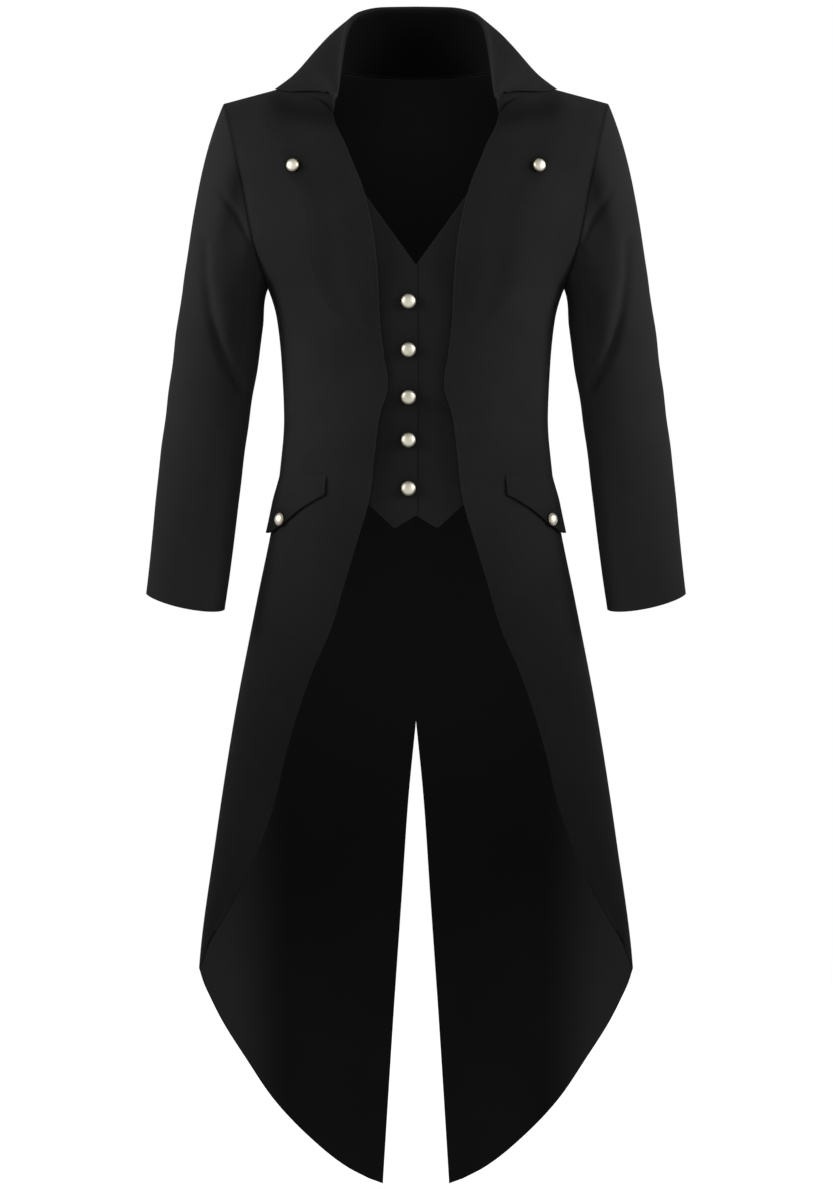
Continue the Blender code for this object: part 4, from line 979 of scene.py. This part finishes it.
lapel = {
    "wall": 0.0016, "gap": 0.0006, "thinEdge": 0.40, "thinReach": 0.012,
    "rows": 110, "columns": 40, "wrapColumns": 10, "crowding": 0.4,
    "foldShare": 0.85,                       # its turn round the front edge is this much of a half circle
    "behind": (0.004, 0.009),                # and it runs on inside the coat to these distances
    "edge": [(0.0020, 0.1795), (-0.0050, 0.1828), (-0.0220, 0.1790), (-0.0480, 0.1694), (-0.0720, 0.1590),
             (-0.0840, 0.1560), (-0.0940, 0.1495), (-0.1080, 0.1385), (-0.1300, 0.1330), (-0.1560, 0.1308),
             (-0.2040, 0.1240), (-0.2400, 0.1110), (-0.2700, 0.0880), (-0.2900, 0.0640), (-0.3040, 0.0470),
             (-0.3180, 0.0395)],
    "rowEnds": [(0.0020, -0.0180), (-0.0760, -0.0850), (-0.1500, -0.1500), (-0.3180, -0.3180)],
    "rowPower": 1.2,
    "tuck": 0.0115, "tuckReach": 0.050,      # the top rises under the collar
    "roll": 0.0034,                          # how far it swells off the chest before its fold
    "rollFrom": (0.30, 0.72), "rollTo": (0.80, 1.0), "rollWidth": 0.03,  # shares of its width, metres
    # painted shade on the upper lapel, fading out between these depths
    "darkenBy": 0.18, "paintedShadeUntil": (0.23, 0.31),
    "flatFrom": -0.215, "flatTo": -0.310,    # heights between which it thins out and merges with the chest
    "flattened": 0.75,
    "cut": (0.15, 0.35, 0.034),
}


def frontNormal(points):
    # square to the front's slopes along x and z, taken over 1 mm
    step = 0.0005
    x, z = points[..., 0], points[..., 2]
    slopeX = (frontPoint(x + step, z) - frontPoint(x - step, z))[..., 1] / (2 * step)
    slopeZ = (frontPoint(x, z + step) - frontPoint(x, z - step))[..., 1] / (2 * step)
    return unit(np.stack([slopeX, -np.ones_like(x), slopeZ], axis=-1))


def lapelGrid():
    # Rows from the outer edge to the fold, lying on the chest, then a half circle round the coat's front edge
    # to its inside. Returns the middle of the wall and its thickness.
    rows = np.array(lapel["edge"])
    top, bottom = rows[:, 0].max(), rows[:, 0].min()
    outerZ = top + np.linspace(0, 1, lapel["rows"] + 1) ** lapel["rowPower"] * (bottom - top)
    outerX = curveThrough(outerZ, rows)
    innerZ = curveThrough(outerZ, lapel["rowEnds"])
    innerX = curveThrough(innerZ, coatCut["frontEdge"]) + coatFront["pullBack"]
    share = edgeSpread(lapel["columns"], lapel["crowding"])
    tuck = (lapel["tuck"] * (1 - smoothStep(top - outerZ, 0, lapel["tuckReach"])))[:, None]
    x = outerX[:, None] + (innerX - outerX)[:, None] * share
    z = outerZ[:, None] + (innerZ - outerZ)[:, None] * share + tuck * (1 - (2 * share - 1) ** 4)
    flat = frontPoint(x, z)
    normal = frontNormal(flat)
    merge = 1 - lapel["flattened"] * smoothStep(-outerZ, -lapel["flatFrom"], -lapel["flatTo"])[:, None]
    fromEdge = pathLengths(flat, 1)
    wall = lapel["wall"] * merge * thinTowards(fromEdge, lapel)
    width = np.clip((outerX - innerX) / lapel["rollWidth"], 0, 1)[:, None]
    swell = lapel["roll"] * smoothStep(share, *lapel["rollFrom"])
    swell = swell * (1 - smoothStep(share, *lapel["rollTo"]) ** 2)
    lift = lapel["gap"] * merge * smoothStep(fromEdge, -0.002, lapel["thinReach"]) + wall / 2
    middle = flat + normal * (lift + swell * width * merge)[..., None]
    edge, edgeNormal = flat[:, -1], normal[:, -1]
    out = unit(squareTo(flat[:, -1] - flat[:, -2], edgeNormal))[:, None]
    radius = (coatCut["wall"] / 2 + lift[:, -1:])[:, None]
    centre = edge - edgeNormal * coatCut["wall"] / 2
    turn = np.linspace(0, math.pi, lapel["wrapColumns"] + 1)[None, 1:, None]
    wrap = centre[:, None] + radius * (edgeNormal[:, None] * np.cos(turn)
                                       + lapel["foldShare"] * out * np.sin(turn))
    behind = wrap[:, -1:] - out * np.array(lapel["behind"])[None, :, None]
    wrapWall = np.repeat(wall[:, -1:], lapel["wrapColumns"] + len(lapel["behind"]), axis=1)
    return np.concatenate([middle, wrap, behind], axis=1), np.concatenate([wall, wrapWall], axis=1)


lapelMiddle, lapelWall = lapelGrid()
lapelNormal = gridNormals(lapelMiddle)
if np.sum(lapelNormal[:, :lapel["columns"], 1]) > 0:  # where it lies on the chest it has to face the front
    lapelNormal = -lapelNormal
halfWall = lapelNormal * lapelWall[..., None] / 2
# painted shadow under the collar and round the button, and painted shade on the upper lapel
lapelShade = shadowUnderCollar(lapelMiddle) + shadowRoundButtons(lapelMiddle, [button["lapelAt"]])
lapelShade = lapelShade - lapel["darkenBy"] * (1 - smoothStep(-lapelMiddle[..., 2], *lapel["paintedShadeUntil"]))
for side in ("left", "right"):
    piece = clothWall("lapel_turnedBack_" + side, lapelMiddle + halfWall, lapelMiddle - halfWall, [coatBlack],
                      stitched=("first",), worn=lapelShade, mirrored=side == "left")
    dress(piece, "lapel_" + side)
print("lapels made")


# Waistcoat front

waistcoat = {
    "wall": 0.0015, "gap": 0.0004, "thinEdge": 0.45, "thinReach": 0.010,
    "rows": 150, "rowCrowding": 0.5, "columns": 56, "crowding": 0.45,
    "lapEdge": 0.0012, "underlap": 0.024, "side": 0.098,
    "neckBottomZ": -0.1985, "neckSlope": 1.38,
    "flat": 0.030,                           # from here to the side it comes forwards to the coat
    "lapFrom": 0.004, "lapTo": 0.040,        # and the right front stops lying behind the left one here
    "slack": 0.0007, "slackReach": 0.05,     # low waves beside the row of buttons
    # how far it lies behind the coat's inner face at the centre
    "dip": [(-0.1000, 0.0090), (-0.2000, 0.0070), (-0.2450, 0.0022), (-0.3000, 0.0012), (-0.3400, 0.0012),
            (-0.4000, 0.0065), (-0.5200, 0.0090)],
    "hem": [(0.0000, -0.4990), (0.0258, -0.5146), (0.0570, -0.4860), (0.0980, -0.4700)],
    "leftCut": (0.13, 0.47, 0.043), "rightCut": (0.15, 0.47, 0.051),
}


def lapWall(x):
    # the left front's wall, which thins out towards its edge
    return waistcoat["wall"] * thinTowards(-x, waistcoat)


def waistcoatY(x, z, extra):
    # behind the coat's inner face by the gap and the dip, pulled in at each button by a bell curve
    aside = smoothStep(np.abs(x), waistcoat["flat"], waistcoat["side"])
    dip = curveThrough(z, waistcoat["dip"]) * (1 - aside)
    pull = waistcoat["slack"] * np.exp(-(x / waistcoat["slackReach"]) ** 2) * np.sin(62 * z + 30 * np.abs(x))
    for buttonZ in button["waistcoatZ"]:
        far = np.hypot(x - button["waistcoatX"], z - buttonZ) / button["bedWidth"]
        pull = pull + button["bed"] * np.exp(-far ** 2)
    return frontPoint(x, z)[..., 1] + coatCut["wall"] + waistcoat["gap"] + dip + extra + pull


def waistcoatGrid(centre, sideX, behind):
    # x from the centre edge to the side, z from the neck edge to the pointed hem
    x = centre + (sideX - centre) * edgeSpread(waistcoat["columns"], waistcoat["crowding"])
    away = np.abs(x)
    top = waistcoat["neckBottomZ"] + waistcoat["neckSlope"] * away
    hemX, hemZ = np.array(waistcoat["hem"]).T
    hem = np.interp(away, hemX, hemZ)
    z = top + (hem - top) * edgeSpread(waistcoat["rows"], waistcoat["rowCrowding"])[:, None]
    x = np.broadcast_to(x, z.shape)
    lapped = 1 - smoothStep(x, waistcoat["lapFrom"], waistcoat["lapTo"])
    return np.stack([x, waistcoatY(x, z, behind * (waistcoat["gap"] + lapWall(x)) * lapped), z], axis=-1)


for side, centre, sideX, behind in (("left", waistcoat["lapEdge"], -waistcoat["side"], 0.0),
                                    ("right", -waistcoat["underlap"], waistcoat["side"], 1.0)):
    outer = waistcoatGrid(centre, sideX, behind)
    inner = outer.copy()
    inner[..., 1] += waistcoat["wall"] if behind else lapWall(outer[..., 0])
    # painted shadow rings round the buttons
    ring = shadowRoundButtons(outer, [(button["waistcoatX"], z) for z in button["waistcoatZ"]])
    piece = clothWall("waistcoatFront_" + side, outer, inner, [waistcoatBlack, liningBlack],
                      stitched=("first", "top", "bottom"), inside=1.0, worn=ring)
    dress(piece, "waistcoat_" + side)
print("waistcoat made")


# Hip flaps

hipFlap = {
    "wall": 0.0018, "gap": 0.0008,
    "lift": 0.0035,                          # how far the hem stands off the hip
    "topSunk": 0.0032, "topReach": 0.55,     # the top edge comes out of the coat's seam
    "topZ": -0.443, "frontX": 0.1062, "backAngle": 118.0,
    "hem": [(30.0, -0.4660), (50.0, -0.4900), (64.0, -0.5100), (78.0, -0.5205), (94.0, -0.5205),
            (118.0, -0.5060)],
    "flatShare": 0.35, "flatUntil": (60.0, 86.0),  # in front it lies flatter, up to these angles
    "columns": 70, "crowding": 0.4, "rows": 34, "rowCrowding": 0.3,
    "cut": (0.20, 0.09, 0.014),
}


def ringPoint(angle, z):
    # superellipse section: 0 centre front, 90 side seam, 180 centre back
    turn, power = np.radians(angle), section(z, 4)
    reach = np.abs(np.cos(turn)) ** (2 / power)
    y = np.where(np.cos(turn) > 0, -section(z, 2) * reach, section(z, 3) * reach)
    return np.stack([section(z, 1) * np.abs(np.sin(turn)) ** (2 / power), y, z + 0 * y], axis=-1)


def flapLift(angle):
    # the hem's lift, of which only flatShare is left in front
    backwards = smoothStep(angle, *hipFlap["flatUntil"])
    return hipFlap["lift"] * (hipFlap["flatShare"] + (1 - hipFlap["flatShare"]) * backwards)


def flapHem(angle):
    # straight from one point of the hem to the next
    hemAngle, hemZ = np.array(hipFlap["hem"]).T
    return np.interp(angle, hemAngle, hemZ)


def flapGrid():
    # the hip's skin from the front end round the side, lifted more and more towards the hem
    first = math.degrees(float(sectionAngle(hipFlap["frontX"], hipFlap["topZ"])))
    angle = first + (hipFlap["backAngle"] - first) * edgeSpread(hipFlap["columns"], hipFlap["crowding"])
    share = edgeSpread(hipFlap["rows"], hipFlap["rowCrowding"])[:, None]
    z = hipFlap["topZ"] + (flapHem(angle) - hipFlap["topZ"]) * share
    skin = ringPoint(np.broadcast_to(angle, z.shape), z)
    normal = bodyNormals(skin)
    lift = hipFlap["gap"] + flapLift(angle) * share
    sunk = hipFlap["topSunk"] * (1 - smoothStep(share, 0.0, hipFlap["topReach"]))
    inner = skin + normal * (lift - sunk + 0 * z)[..., None]
    return inner + normal * hipFlap["wall"], inner


flapOuter, flapInner = flapGrid()
# painted shade down the skirt and a painted shadow ring round the button
flapShade = shadeDownSkirt(flapOuter) + shadowRoundButtons(flapOuter, [button["flapAt"]])
for side in ("left", "right"):
    piece = clothWall("hipFlap_" + side, flapOuter, flapInner, [coatBlack],
                      stitched=("first", "last", "bottom"), worn=flapShade, mirrored=side == "left")
    dress(piece, "hip_flap_" + side)
print("hip flaps made")


# Buttons

def buttonProfile(radius):
    # Radius and height from the shank's foot over the rim's bead and groove to the dome's top
    rim, shank, shankTop = button["rimHeight"], button["shankRadius"], button["shankHeight"]
    foot = [(0.0, 0.0), (shank, 0.0), (shank, shankTop),
            (radius * button["footShare"], shankTop + button["footRise"])]
    bead = np.radians(np.linspace(-90, 80, 9))
    beadOut = radius * (1 - button["beadShare"] + button["beadShare"] * np.cos(bead))
    beadUp = rim - button["beadHeight"] + button["beadHeight"] * np.sin(bead)
    grooveUp = rim - button["grooveDepth"]
    arc = np.radians(np.linspace(6, 90, 22))
    domeOut = radius * button["domeShare"] * np.cos(arc)
    domeUp = grooveUp + (radius * button["domeRise"] + button["grooveDepth"]) * np.sin(arc)
    beadPart, domePart = (np.stack(pair, axis=1) for pair in ((beadOut, beadUp), (domeOut, domeUp)))
    profile = np.concatenate([foot, beadPart, [(radius * button["grooveShare"], grooveUp)], domePart])
    # the recess that holds the tarnish: all of the foot and groove, less and less of the bead and the dome
    inGroove = np.clip(1 - (arc - arc[0]) / 0.25, 0, 1)
    return profile, np.concatenate([np.ones(len(foot)), np.linspace(0.9, 0.2, len(bead)), [1.0], inGroove])


def makeButton(name, standsFor, place, facing, radius):
    # the profile turned round the axis through place along facing, closed at both poles
    facing = unit(np.asarray(facing, dtype=float))
    across = unit(np.cross(facing, (0, 0, 1.0)))
    upwards = np.cross(across, facing)
    profile, recessAndShade = buttonProfile(radius)
    sides = button["sides"]
    turn = np.linspace(0, 2 * math.pi, sides, endpoint=False)[:, None]
    spoke = across * np.cos(turn) + upwards * np.sin(turn)
    body = profile[1:-1]
    start = np.asarray(place) + facing * button["gap"]
    rings = (start + facing * body[:, 1:])[:, None] + body[:, :1, None] * spoke
    top = start + facing * profile[-1, 1]
    points = np.concatenate([rings.reshape(-1, 3), start[None], top[None]])
    index = np.arange(len(body) * sides).reshape(-1, sides)
    beside = np.roll(index, -1, axis=1)
    quads = np.stack([index[:-1], beside[:-1], beside[1:], index[1:]], axis=-1).reshape(-1, 4)
    footPole, topPole = np.full(sides, index.size), np.full(sides, index.size + 1)
    footFan = np.stack([beside[0], index[0], footPole], axis=-1)
    topFan = np.stack([index[-1], beside[-1], topPole], axis=-1)
    mesh = bpy.data.meshes.new(name)
    mesh.from_pydata(points.tolist(), [], quads.tolist() + footFan.tolist() + topFan.tolist())
    if mesh.polygons[-1].normal.dot(facing.tolist()) < 0:
        mesh.flip_normals()
    mesh.shade_smooth()
    mesh.materials.append(buttonMetal)
    # painted shade towards the dome's upper left and round its rim, over the tarnish in the recesses
    lean = spoke @ np.array(paleBrass["shadeTowards"]) * body[:, :1] / radius
    tarnishAndShade = paleBrass["shadeShare"] * smoothStep(lean, *paleBrass["shadeFade"])
    rimShade = paleBrass["rimShade"] * smoothStep(body[:, :1] / radius, paleBrass["rimFrom"], 1.0)
    tarnishAndShade = np.maximum(tarnishAndShade, rimShade)
    shade = np.maximum(np.repeat(recessAndShade[1:-1], sides), tarnishAndShade.reshape(-1))
    shade = np.concatenate([shade, [1.0, float(tarnishAndShade.mean())]])
    mesh.attributes.new("recessAndShade", "FLOAT", "POINT").data.foreach_set("value", shade.astype(np.float32))
    piece = bpy.data.objects.new(name, mesh)
    bpy.context.scene.collection.objects.link(piece)
    dress(piece, standsFor)


def waistcoatPlace(z):
    # the place on the waistcoat front and its slope there, taken over 8 mm
    x, step = button["waistcoatX"], 0.004
    low, middle, high = (float(waistcoatY(np.array(x), np.array(z + d), 0.0)) for d in (-step, 0, step))
    return (x, middle - 0.0002, z), (0, -1.0, (high - low) / (2 * step))


def lapelPlace():
    # on the lapel's outer face, square to the chest
    place = frontPoint(*button["lapelAt"])
    normal = frontNormal(place)
    return place + normal * (lapel["gap"] + lapel["wall"]), normal


def flapPlace():
    # on the flap's outer face, square to the hip and turned a little to the front
    x, z = button["flapAt"]
    angle = math.degrees(float(sectionAngle(x - hipFlap["wall"] - hipFlap["lift"] / 2, z)))
    skin, beside, above = (ringPoint(np.array(angle + turn), np.array(z + rise))
                           for turn, rise in ((0, 0), (2.0, 0), (0, 0.004)))
    normal = unit(np.cross(beside - skin, above - skin))
    normal = normal * np.sign(normal[0])
    share = (hipFlap["topZ"] - z) / (hipFlap["topZ"] - float(flapHem(angle)))
    place = skin + normal * (hipFlap["gap"] + flapLift(angle) * share + hipFlap["wall"])
    return place, unit(normal + np.array([0, -button["flapTurn"], 0]))


for number, z in enumerate(button["waistcoatZ"], start=1):
    makeButton(f"waistcoatButton_{number}", f"waistcoat_button_{number}", *waistcoatPlace(z),
               button["largeRadius"])
for side, hand in (("left", -1.0), ("right", 1.0)):
    for kind, (place, facing) in (("lapel", lapelPlace()), ("flap", flapPlace())):
        flip = np.array([hand, 1, 1])
        makeButton(f"{kind}Button_{side}", f"{kind}_button_{side}", place * flip, facing * flip,
                   button["smallRadius"])
print("buttons made")


# Floor, light and camera

studio = {
    "floorZ": -1.308, "floorSize": 30.0,
    "floorColour": (0.45, 0.45, 0.45), "floorGlow": 0.60, "floorRoughness": 0.9,
    "worldColour": (1.0, 1.0, 1.0), "worldStrength": 1.0,
    "cameraDistance": 60.0,                  # far away, as the photograph shows hardly any perspective
    "pictureHeight": 1.4268,                 # metres that the picture's height covers at the coat
    "pictureCentre": (0.0006, -0.5934),      # x and z at the middle of the picture
    # one soft light from each side, aimed at the chest: metres, watts and degrees
    "lightPlace": (2.2, -0.65, 0.45), "lightTarget": (0.0, -0.05, -0.16),
    "lightSize": 0.9, "lightPower": 7.0, "lightBeam": 44.0,
}

corners = np.array([(-1, -1, 0), (1, -1, 0), (1, 1, 0), (-1, 1, 0)])
floorPoints = corners * studio["floorSize"] + np.array([0, 0, studio["floorZ"]])
floorMaterial, floorTree, floorShader = newMaterial("paleFloor")
floorLook = {"Base Color": solidColour(studio["floorColour"]), "Roughness": studio["floorRoughness"],
             "Emission Color": solidColour((1, 1, 1)), "Emission Strength": studio["floorGlow"]}
for name, value in floorLook.items():
    connect(floorTree, value, floorShader.inputs[name])
floor = meshFrom("floor", floorPoints, np.array([[0, 1, 2, 3]]), [floorMaterial])

world = bpy.data.worlds.new("studio")
bpy.context.scene.world = world
world.use_nodes = True
sky = world.node_tree.nodes["Background"]
sky.inputs["Color"].default_value = solidColour(studio["worldColour"])
sky.inputs["Strength"].default_value = studio["worldStrength"]


def aim(thing, place, target):
    # at place, looking at target
    place, target = Vector(place), Vector(target)
    thing.location = place
    thing.rotation_euler = (target - place).to_track_quat("-Z", "Y").to_euler()


for name, hand in (("sideLeft", -1), ("sideRight", 1)):
    light = bpy.data.lights.new(name, "AREA")
    light.size, light.energy = studio["lightSize"], studio["lightPower"]
    light.spread = math.radians(studio["lightBeam"])
    lamp = bpy.data.objects.new(name, light)
    bpy.context.scene.collection.objects.link(lamp)
    aim(lamp, Vector(studio["lightPlace"]) * Vector((hand, 1, 1)), studio["lightTarget"])

camera = bpy.data.cameras.new("camera")
camera.sensor_fit = "VERTICAL"
camera.sensor_height = 24.0
camera.lens = camera.sensor_height * studio["cameraDistance"] / studio["pictureHeight"]
camera.clip_end = 200.0
cameraObject = bpy.data.objects.new("camera", camera)
bpy.context.scene.collection.objects.link(cameraObject)
centreX, centreZ = studio["pictureCentre"]
aim(cameraObject, (centreX, -studio["cameraDistance"], centreZ), (centreX, 0, centreZ))
bpy.context.scene.camera = cameraObject
bpy.context.scene.view_settings.view_transform = "Standard"
print("studio made")
